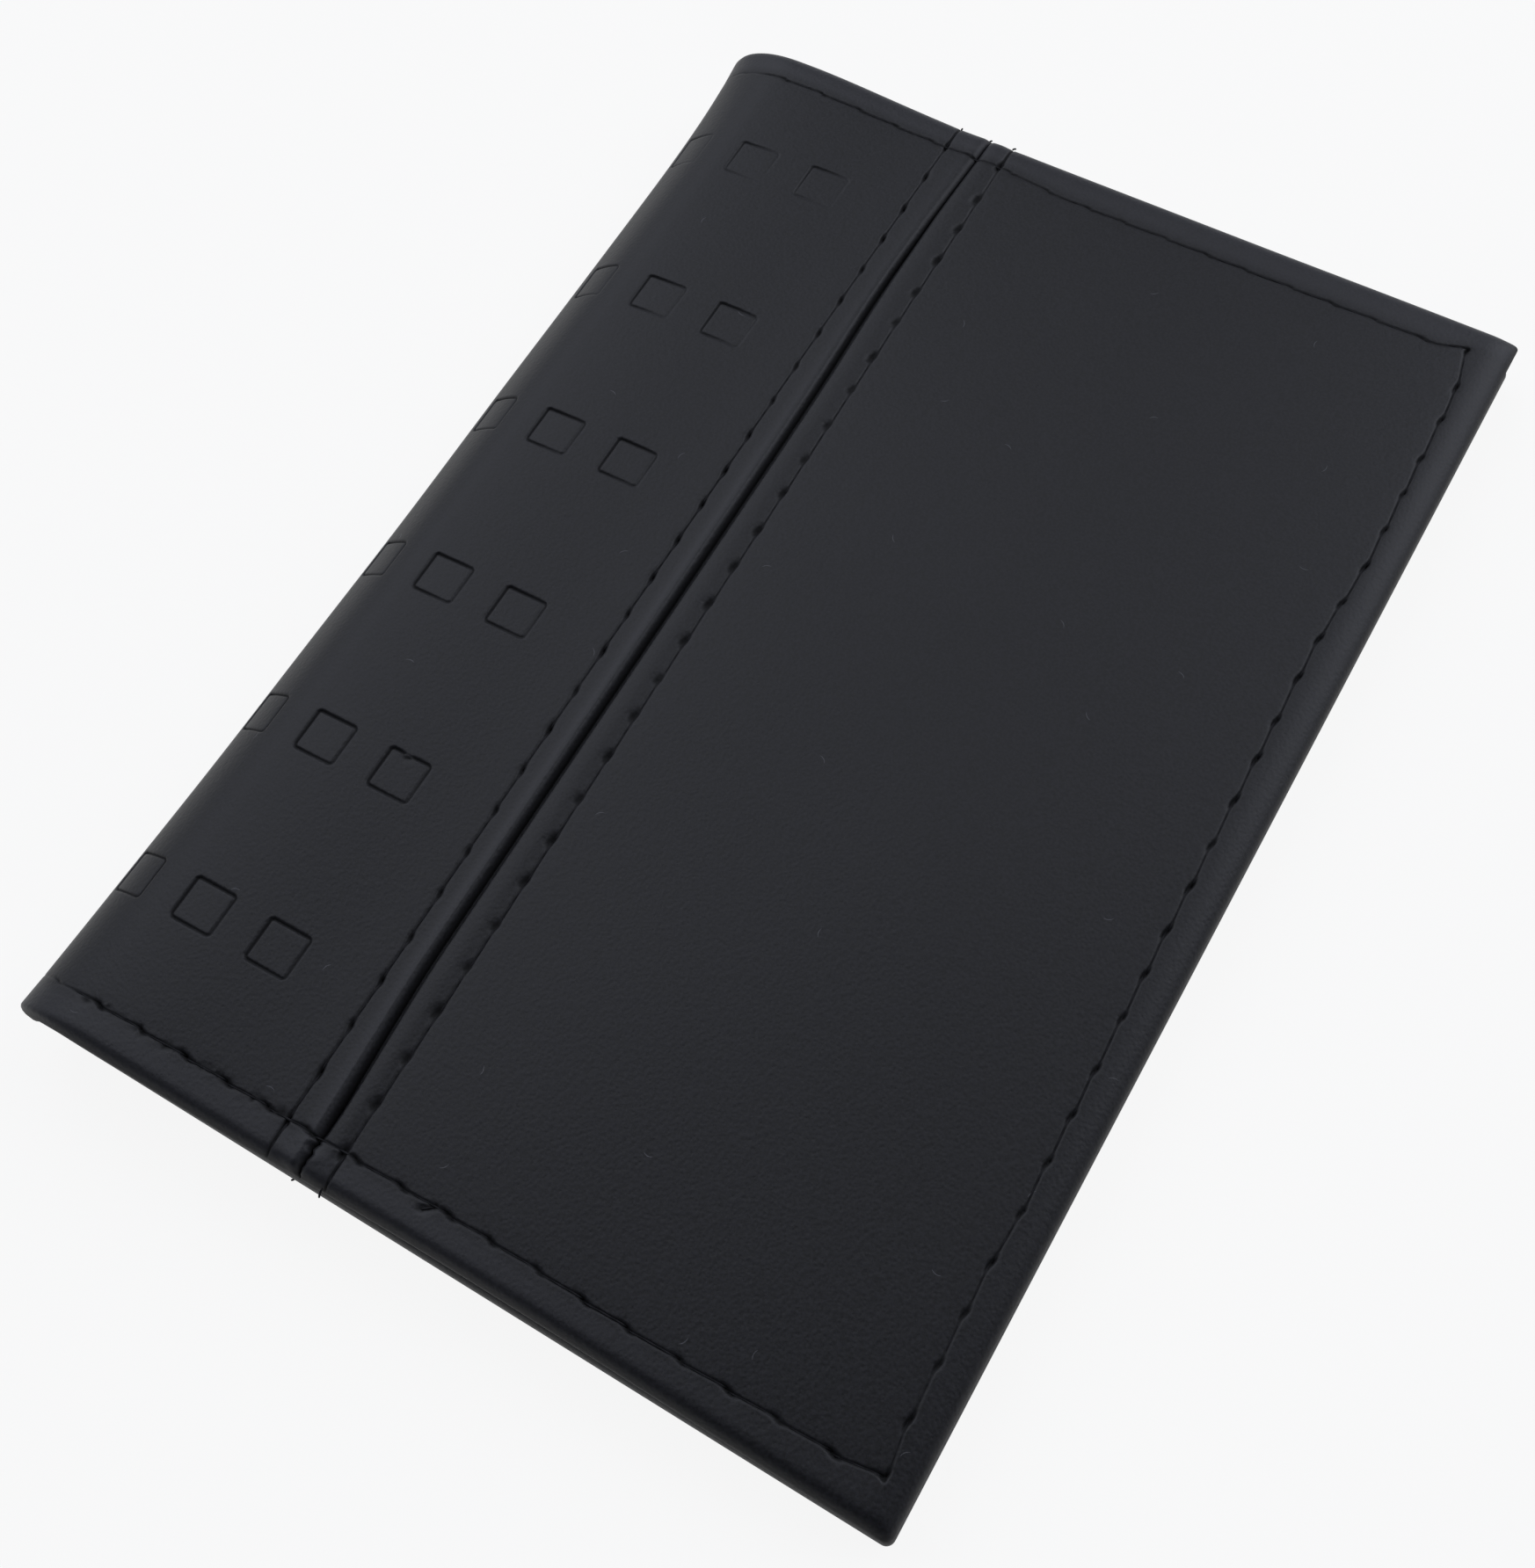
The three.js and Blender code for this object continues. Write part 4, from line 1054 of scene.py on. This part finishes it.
# %% Node helpers
def linear(hex_code):
    """sRGB hex to linear colour with full opacity, by the standard two-part curve."""
    values = np.array([int(hex_code[i:i + 2], 16) for i in (1, 3, 5)]) / 255.0
    curve = np.where(values <= 0.04045, values / 12.92, ((values + 0.055) / 1.055) ** 2.4)
    return (*curve.tolist(), 1.0)


def add(tree, kind, sockets=None, links=None, **settings):
    """Adds one node: settings are its own properties, sockets its input values, links its incoming
    outputs."""
    node = tree.nodes.new(kind)
    for name, value in settings.items():
        setattr(node, name, value)
    for name, value in (sockets or {}).items():
        node.inputs[name].default_value = value
    for name, output in (links or {}).items():
        tree.links.new(output, node.inputs[name])
    return node


def new_material(name):
    """A material with an empty node tree."""
    material = bpy.data.materials.new(name)
    material.use_nodes = True
    material.node_tree.nodes.clear()
    return material, material.node_tree


def per_mm(size):
    """Scale of a pattern whose cells are size millimetres wide, on coordinates in metres."""
    return 1.0 / (size * MM)


# %% [markdown]
# The skin is bonded leather with a matt black finish: a very fine pressed grain, hardly any sheen,
# and a brown-grey core that shows only where it is cut. Real pores and grain are about 0.1 to 0.2 mm,
# too fine for the picture, so the pores are drawn at 0.3 mm and the cells of the grain at 0.4 mm.
# Three attributes of the mesh say where a highlight is painted lighter, where shade is painted dark
# and the skin is duller, and where the core shows. Some short fibres of dust lie on it: one to each
# cell of a wide pattern, turned by the cell's own chance, bent by a parabola, and drawn where a thin
# ellipse round it has a length below one.


# %% Dust
DUST_CELL, DUST_SHARE = 14.0, 0.5
DUST_HALF_LENGTH, DUST_HALF_WIDTH, DUST_BEND = 0.5, 0.04, 0.6


def dust(tree, place_in):
    """1 on a fibre of dust, and 0 elsewhere. A share of the cells has a fibre each."""
    cells = {"Scale": per_mm(DUST_CELL)}
    cell = add(tree, "ShaderNodeTexVoronoi", cells, {"Vector": place_in}, voronoi_dimensions="2D")
    luck = add(tree, "ShaderNodeSeparateColor", {}, {"Color": cell.outputs["Color"]}).outputs
    turn = add(tree, "ShaderNodeMath", {1: 2.0 * math.pi}, {0: luck["Red"]}, operation="MULTIPLY")
    links = {0: place_in, 1: cell.outputs["Position"]}
    away = add(tree, "ShaderNodeVectorMath", {}, links, operation="SUBTRACT")
    links = {"Vector": away.outputs["Vector"], "Angle": turn.outputs["Value"]}
    part = add(tree, "ShaderNodeVectorRotate", {}, links, rotation_type="Z_AXIS")
    part = add(tree, "ShaderNodeSeparateXYZ", {}, {"Vector": part.outputs["Vector"]}).outputs
    square = add(tree, "ShaderNodeMath", {}, {0: part["X"], 1: part["X"]}, operation="MULTIPLY")
    links = {0: square.outputs["Value"], 2: part["Y"]}
    bent = add(tree, "ShaderNodeMath", {1: -DUST_BEND / MM}, links, operation="MULTIPLY_ADD")
    fibre = add(tree, "ShaderNodeCombineXYZ", {}, {"X": part["X"], "Y": bent.outputs["Value"]})
    sizes = {1: (per_mm(DUST_HALF_LENGTH), per_mm(DUST_HALF_WIDTH), 1.0)}
    links = {0: fibre.outputs["Vector"]}
    shape = add(tree, "ShaderNodeVectorMath", sizes, links, operation="MULTIPLY")
    far = add(tree, "ShaderNodeVectorMath", {}, {0: shape.outputs["Vector"]}, operation="LENGTH")
    near = add(tree, "ShaderNodeMath", {1: 1.0}, {0: far.outputs["Value"]}, operation="LESS_THAN")
    picked = add(tree, "ShaderNodeMath", {1: DUST_SHARE}, {0: luck["Green"]}, operation="LESS_THAN")
    links = {0: near.outputs["Value"], 1: picked.outputs["Value"]}
    return add(tree, "ShaderNodeMath", {}, links, operation="MULTIPLY").outputs["Value"]


# %% Leather
GRAIN, PORE, DRIFT = 0.4, 0.3, 22.0
# the second colour is a painted highlight and the third is painted shade; dust and the brown core are
# the leather's own
DUST_HEX, HIGHLIGHT_HEX, SHADE_HEX, CORE_HEX = "#48484c", "#3c3c40", "#030304", "#4a3c30"
HIGHLIGHT_SHARE, DULL = 0.3, 0.3


def leather(name, skin_hex, lit_hex, rough):
    """Black finished leather: fine speckle and grain and a slow drift of tone, then dust, a painted
    highlight, painted shade with duller roughness, and the brown core, each laid over the colour so
    far by its own share."""
    material, tree = new_material(name)
    place_in = add(tree, "ShaderNodeTexCoord").outputs["Object"]
    cells, fine, slow = ({"Scale": per_mm(size)} for size in (GRAIN, PORE, DRIFT))
    grain = add(tree, "ShaderNodeTexVoronoi", cells, {"Vector": place_in}, feature="SMOOTH_F1")
    fine["Detail"], slow["Detail"] = 3.0, 4.0
    pores = add(tree, "ShaderNodeTexNoise", fine, {"Vector": place_in}).outputs["Fac"]
    drift = add(tree, "ShaderNodeTexNoise", slow, {"Vector": place_in}).outputs["Fac"]
    speck = add(tree, "ShaderNodeMapRange", {"From Min": 0.4, "From Max": 0.6}, {"Value": pores})
    links = {"A": speck.outputs["Result"], "B": drift}
    share = add(tree, "ShaderNodeMix", {"Factor": 0.25}, links, data_type="FLOAT").outputs["Result"]
    tones = {"A": linear(skin_hex), "B": linear(lit_hex)}
    mixed = add(tree, "ShaderNodeMix", tones, {"Factor": share}, data_type="RGBA")
    colour = mixed.outputs["Result"]
    painted_highlight, sunk_and_shade, cut = (
        add(tree, "ShaderNodeAttribute", attribute_name=mark).outputs["Fac"]
        for mark in ("painted_highlight", "painted_shade", "raw_edge")
    )
    # painted highlight, by its share
    light = add(tree, "ShaderNodeMath", {1: HIGHLIGHT_SHARE}, {0: painted_highlight}, operation="MULTIPLY")
    highlight = light.outputs["Value"]
    dusty = dust(tree, place_in)
    # dust, painted highlight, painted shade and the brown core, in this order
    layers = [(dusty, DUST_HEX), (highlight, HIGHLIGHT_HEX), (sunk_and_shade, SHADE_HEX), (cut, CORE_HEX)]
    for laid, over_hex in layers:
        links = {"Factor": laid, "A": colour}
        layer = add(tree, "ShaderNodeMix", {"B": linear(over_hex)}, links, data_type="RGBA")
        colour = layer.outputs["Result"]
    ends = {"To Min": rough - 0.07, "To Max": rough + 0.08}
    matt = add(tree, "ShaderNodeMapRange", ends, {"Value": pores}).outputs["Result"]
    links = {0: sunk_and_shade, 2: matt}
    dull = add(tree, "ShaderNodeMath", {1: DULL}, links, operation="MULTIPLY_ADD", use_clamp=True)
    height = add(tree, "ShaderNodeMath", {1: 0.6}, {0: pores}, operation="MULTIPLY")
    links = {0: height.outputs["Value"], 1: grain.outputs["Distance"]}
    height = add(tree, "ShaderNodeMath", {}, links, operation="ADD").outputs["Value"]
    bump = add(tree, "ShaderNodeBump", {"Strength": 0.5, "Distance": 0.05 * MM}, {"Height": height})
    links = {"Base Color": colour, "Normal": bump.outputs["Normal"]}
    links["Roughness"] = dull.outputs["Value"]
    shader = add(tree, "ShaderNodeBsdfPrincipled", {"IOR": 1.5, "Specular IOR Level": 0.37}, links)
    add(tree, "ShaderNodeOutputMaterial", {}, {"Surface": shader.outputs["BSDF"]})
    return material


cover_leather = leather("bonded_leather_black", "#050506", "#17171b", 0.5)
pocket_leather = leather("split_leather_black", "#0a0a0c", "#202023", 0.62)
print("leathers:", cover_leather.name, pocket_leather.name)

# %% [markdown]
# The lining and the tape are plain woven cloth. The weave follows each piece's own map, which is in
# millimetres along and across the cloth. A plain weave is two sets of ridges, and each set rises
# where the other one dips.


# %% Woven cloth
def woven(name, dark_hex, light_hex, spacing):
    """Plain weave: two crossing wave patterns at one thread spacing, the higher one showing. A wave
    of scale one is a twentieth of a full circle long, and it covers two threads."""
    material, tree = new_material(name)
    run = add(tree, "ShaderNodeUVMap", uv_map="run").outputs["UV"]
    wave = {"Scale": 2.0 * math.pi / (20.0 * 2.0 * spacing), "Distortion": 0.4}
    warp = add(tree, "ShaderNodeTexWave", wave, {"Vector": run}, bands_direction="X").outputs["Fac"]
    weft = add(tree, "ShaderNodeTexWave", wave, {"Vector": run}, bands_direction="Y").outputs["Fac"]
    over = add(tree, "ShaderNodeMath", {}, {0: warp, 1: weft}, operation="MAXIMUM").outputs["Value"]
    fuzz = add(tree, "ShaderNodeTexNoise", {"Scale": 3.0, "Detail": 3.0}, {"Vector": run})
    links = {0: over, 1: fuzz.outputs["Fac"]}
    share = add(tree, "ShaderNodeMath", {}, links, operation="MULTIPLY").outputs["Value"]
    tones = {"A": linear(dark_hex), "B": linear(light_hex)}
    mixed = add(tree, "ShaderNodeMix", tones, {"Factor": share}, data_type="RGBA")
    colour = mixed.outputs["Result"]
    bump = add(tree, "ShaderNodeBump", {"Strength": 0.6, "Distance": 0.1 * MM}, {"Height": over})
    finish = {"Roughness": 0.8, "Sheen Weight": 0.12, "Sheen Roughness": 0.4}
    links = {"Base Color": colour, "Normal": bump.outputs["Normal"]}
    shader = add(tree, "ShaderNodeBsdfPrincipled", finish, links)
    add(tree, "ShaderNodeOutputMaterial", {}, {"Surface": shader.outputs["BSDF"]})
    return material


lining_cloth = woven("polyester_lining_black", "#101012", "#2c2c30", 0.45)
tape_cloth = woven("cotton_tape_black", "#060607", "#101011", 0.6)
print("cloths:", lining_cloth.name, tape_cloth.name)

# %% [markdown]
# The padding is polyurethane foam, cut from a sheet: its open cells make it dull and pitted. The
# thread is polyester of a few strands twisted together, matt with a trace of gloss along the
# strands.

# %% Foam and thread
def foam_sheet(name):
    """Polyurethane foam sheet: grey cells of about half a millimetre with open pores."""
    material, tree = new_material(name)
    place_in = add(tree, "ShaderNodeTexCoord").outputs["Object"]
    cells = add(tree, "ShaderNodeTexVoronoi", {"Scale": per_mm(0.5)}, {"Vector": place_in})
    far = cells.outputs["Distance"]
    tones = {"A": linear("#4d4a45"), "B": linear("#86817a")}
    colour = add(tree, "ShaderNodeMix", tones, {"Factor": far}, data_type="RGBA").outputs["Result"]
    bump = add(tree, "ShaderNodeBump", {"Strength": 0.8, "Distance": 0.2 * MM}, {"Height": far})
    links = {"Base Color": colour, "Normal": bump.outputs["Normal"]}
    shader = add(tree, "ShaderNodeBsdfPrincipled", {"Roughness": 0.95}, links)
    add(tree, "ShaderNodeOutputMaterial", {}, {"Surface": shader.outputs["BSDF"]})
    return material


def sewing_thread(name):
    """Twisted polyester thread: slanted strands, drawn along the tube's own map."""
    material, tree = new_material(name)
    run = add(tree, "ShaderNodeUVMap", uv_map="run").outputs["UV"]
    turned = add(tree, "ShaderNodeMapping", {"Scale": (1.0, 0.9, 1.0)}, {"Vector": run})
    links = {"Vector": turned.outputs["Vector"]}
    strands = add(tree, "ShaderNodeTexWave", {"Scale": 0.35}, links, bands_direction="DIAGONAL")
    strand = strands.outputs["Fac"]
    tones = {"A": linear("#0e0e10"), "B": linear("#1e1e21")}
    mixed = add(tree, "ShaderNodeMix", tones, {"Factor": strand}, data_type="RGBA")
    colour = mixed.outputs["Result"]
    bump = add(tree, "ShaderNodeBump", {"Strength": 0.5, "Distance": 0.05 * MM}, {"Height": strand})
    links = {"Base Color": colour, "Normal": bump.outputs["Normal"]}
    finish = {"Roughness": 0.75, "Specular IOR Level": 0.2}
    shader = add(tree, "ShaderNodeBsdfPrincipled", finish, links)
    add(tree, "ShaderNodeOutputMaterial", {}, {"Surface": shader.outputs["BSDF"]})
    return material


padding_foam = foam_sheet("polyurethane_foam_grey")
black_thread = sewing_thread("polyester_thread_black")
print("materials:", sorted(material.name for material in bpy.data.materials))

# %% [markdown]
# ## Which piece is which
# Every piece gets its finish, and the solids that it stands for are hidden. A piece on a cover rides
# on that cover's body. The spine's leather, foam, lining and hem thread cross the hinge, so they ride
# on no body: their place is baked into the mesh.

# %% Finishes, bodies and solids
BEND_NEAR, BEND_FAR = 1.49, 5.975
BEND_START = (FOLD_X - BEND_NEAR, BEND_NEAR)
BEND_END = (FOLD_X - BEND_FAR, BEND_FAR)


def dress(piece, material, nodes, side, bends=False):
    """Gives a piece its material and hides the solids that it stands for. A piece that crosses the
    hinge has its place baked into its mesh; any other rides on its cover's body."""
    piece.data.materials.append(material)
    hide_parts(*nodes)
    if bends:
        start, end = BEND_START, BEND_END
        if side == "front":
            start, end = mirrored(*start), mirrored(*end)
        start, end = ((x * MM, 0.0, z * MM) for x, z in (start, end))
        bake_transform(piece)
    else:
        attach(piece, f"{side}_cover")


for side in ("back", "front"):
    strip_nodes = [f"{side}_spine_strip", "spine_fold_panel"]
    foam_nodes = [f"{side}_strip_padding", "spine_padding"]
    lining_nodes = [f"{side}_lining", "spine_lining"]
    dress(skins[side, "panel"], cover_leather, [f"{side}_cover_panel"], side)
    dress(skins[side, "strip"], cover_leather, strip_nodes, side, True)
    dress(foam[side, "panel"], padding_foam, [f"{side}_cover_padding"], side)
    dress(foam[side, "strip"], padding_foam, foam_nodes, side, True)
    dress(tapes[side], tape_cloth, [f"{side}_seam_tape"], side)
    dress(linings[side], lining_cloth, lining_nodes, side, True)
    dress(pockets[side], pocket_leather, [f"{side}_pocket"], side)

# %% Thread is dressed row by row
for side in ("back", "front"):
    for part, rows in (("cover", [f"{side}_hem"]), ("spine", ["spine_tail", "spine_head"])):
        for key, kind in (((side, part), "thread"), ((side, part, "inner"), "bobbin_thread")):
            nodes = [f"{row}_{kind}" for row in rows]
            dress(threads[key], black_thread, nodes, side, part == "spine")
    for part in ("panel", "strip"):
        for row, kind in (("seam", "thread"), ("bobbin", "bobbin")):
            nodes = [f"{side}_seam_{kind}_{part}_side"]
            dress(threads[side, part, row], black_thread, nodes, side)
print("rows of thread:", len(threads))

# %% Cloth and foam pieces are counted
print("declared", len(linings) + len(tapes), "sheets and", len(foam), "padded pieces")

# %% [markdown]
# ## Floor and light
# The photograph is a studio shot on white. The floor is white paper that is brighter to the camera
# and in reflections, and it keeps the shadow. Two large soft lamps hang on the spine side and
# beyond the head, on the fore-edge side. The surround is dark overhead, where the tail is
# reflected, and grows brighter down to the walls.

# %% Floor
FLOOR = 2.0
SEEN_SHARE = 0.9
corners = [(-FLOOR, -FLOOR, 0), (FLOOR, -FLOOR, 0), (FLOOR, FLOOR, 0), (-FLOOR, FLOOR, 0)]
floor_mesh = bpy.data.meshes.new("floor")
floor_mesh.from_pydata(corners, [], [(0, 1, 2, 3)])
floor = bpy.data.objects.new("floor", floor_mesh)
bpy.context.collection.objects.link(floor)
floor_material, tree = new_material("white_paper_sweep")
paper = add(tree, "ShaderNodeBsdfDiffuse", {"Color": linear("#d8d8d8")})
bright = add(tree, "ShaderNodeEmission", {"Color": (1, 1, 1, 1), "Strength": 1.0})
ray = add(tree, "ShaderNodeLightPath").outputs
seen = ray["Is Camera Ray"]
for kind in ("Is Glossy Ray", "Is Transmission Ray"):
    either = add(tree, "ShaderNodeMath", {}, {0: seen, 1: ray[kind]}, operation="ADD")
    seen = either.outputs["Value"]
share = add(tree, "ShaderNodeMath", {1: SEEN_SHARE}, {0: seen}, operation="MULTIPLY")
links = {0: share.outputs["Value"], 1: paper.outputs["BSDF"], 2: bright.outputs["Emission"]}
mixed = add(tree, "ShaderNodeMixShader", {}, links)
add(tree, "ShaderNodeOutputMaterial", {}, {"Surface": mixed.outputs["Shader"]})
floor.data.materials.append(floor_material)
print("floor", 2 * FLOOR, "m wide")

# %% World and lamps
world = bpy.data.worlds.new("studio")
bpy.context.scene.world = world
world.use_nodes = True
tree = world.node_tree
tree.nodes.clear()
heading = add(tree, "ShaderNodeTexCoord").outputs["Generated"]
down = {1: (-0.1, 0.1, -1.0)}
low = add(tree, "ShaderNodeVectorMath", down, {0: heading}, operation="DOT_PRODUCT")
ends = {"From Min": -0.7, "From Max": 0.0, "To Min": 0.0, "To Max": 0.6}
links = {"Value": low.outputs["Value"]}
level = add(tree, "ShaderNodeMapRange", ends, links, interpolation_type="SMOOTHSTEP")
links = {"Strength": level.outputs["Result"]}
soft = add(tree, "ShaderNodeBackground", {"Color": linear("#dfe5f4")}, links)
add(tree, "ShaderNodeOutputWorld", {}, {"Surface": soft.outputs["Background"]})


def lamp(name, place_at, size, power):
    """A square area lamp at a place, in metres, turned to face the wallet at the origin."""
    made = bpy.data.objects.new(name, bpy.data.lights.new(name, "AREA"))
    made.data.size, made.data.energy = size, power
    made.data.color = linear("#eff3ff")[:3]
    made.location = place_at
    made.rotation_euler = (-Vector(place_at)).to_track_quat("-Z", "Y").to_euler()
    bpy.context.collection.objects.link(made)
    return made


lamps = [
    lamp("spine_softbox", (-0.49, 0.23, 0.72), 0.9, 4.5),
    lamp("head_softbox", (0.42, 0.55, 0.58), 0.7, 4.0),
]
bpy.context.scene.view_settings.view_transform = "Standard"
print("lamps:", [(made.name, made.data.energy) for made in lamps])
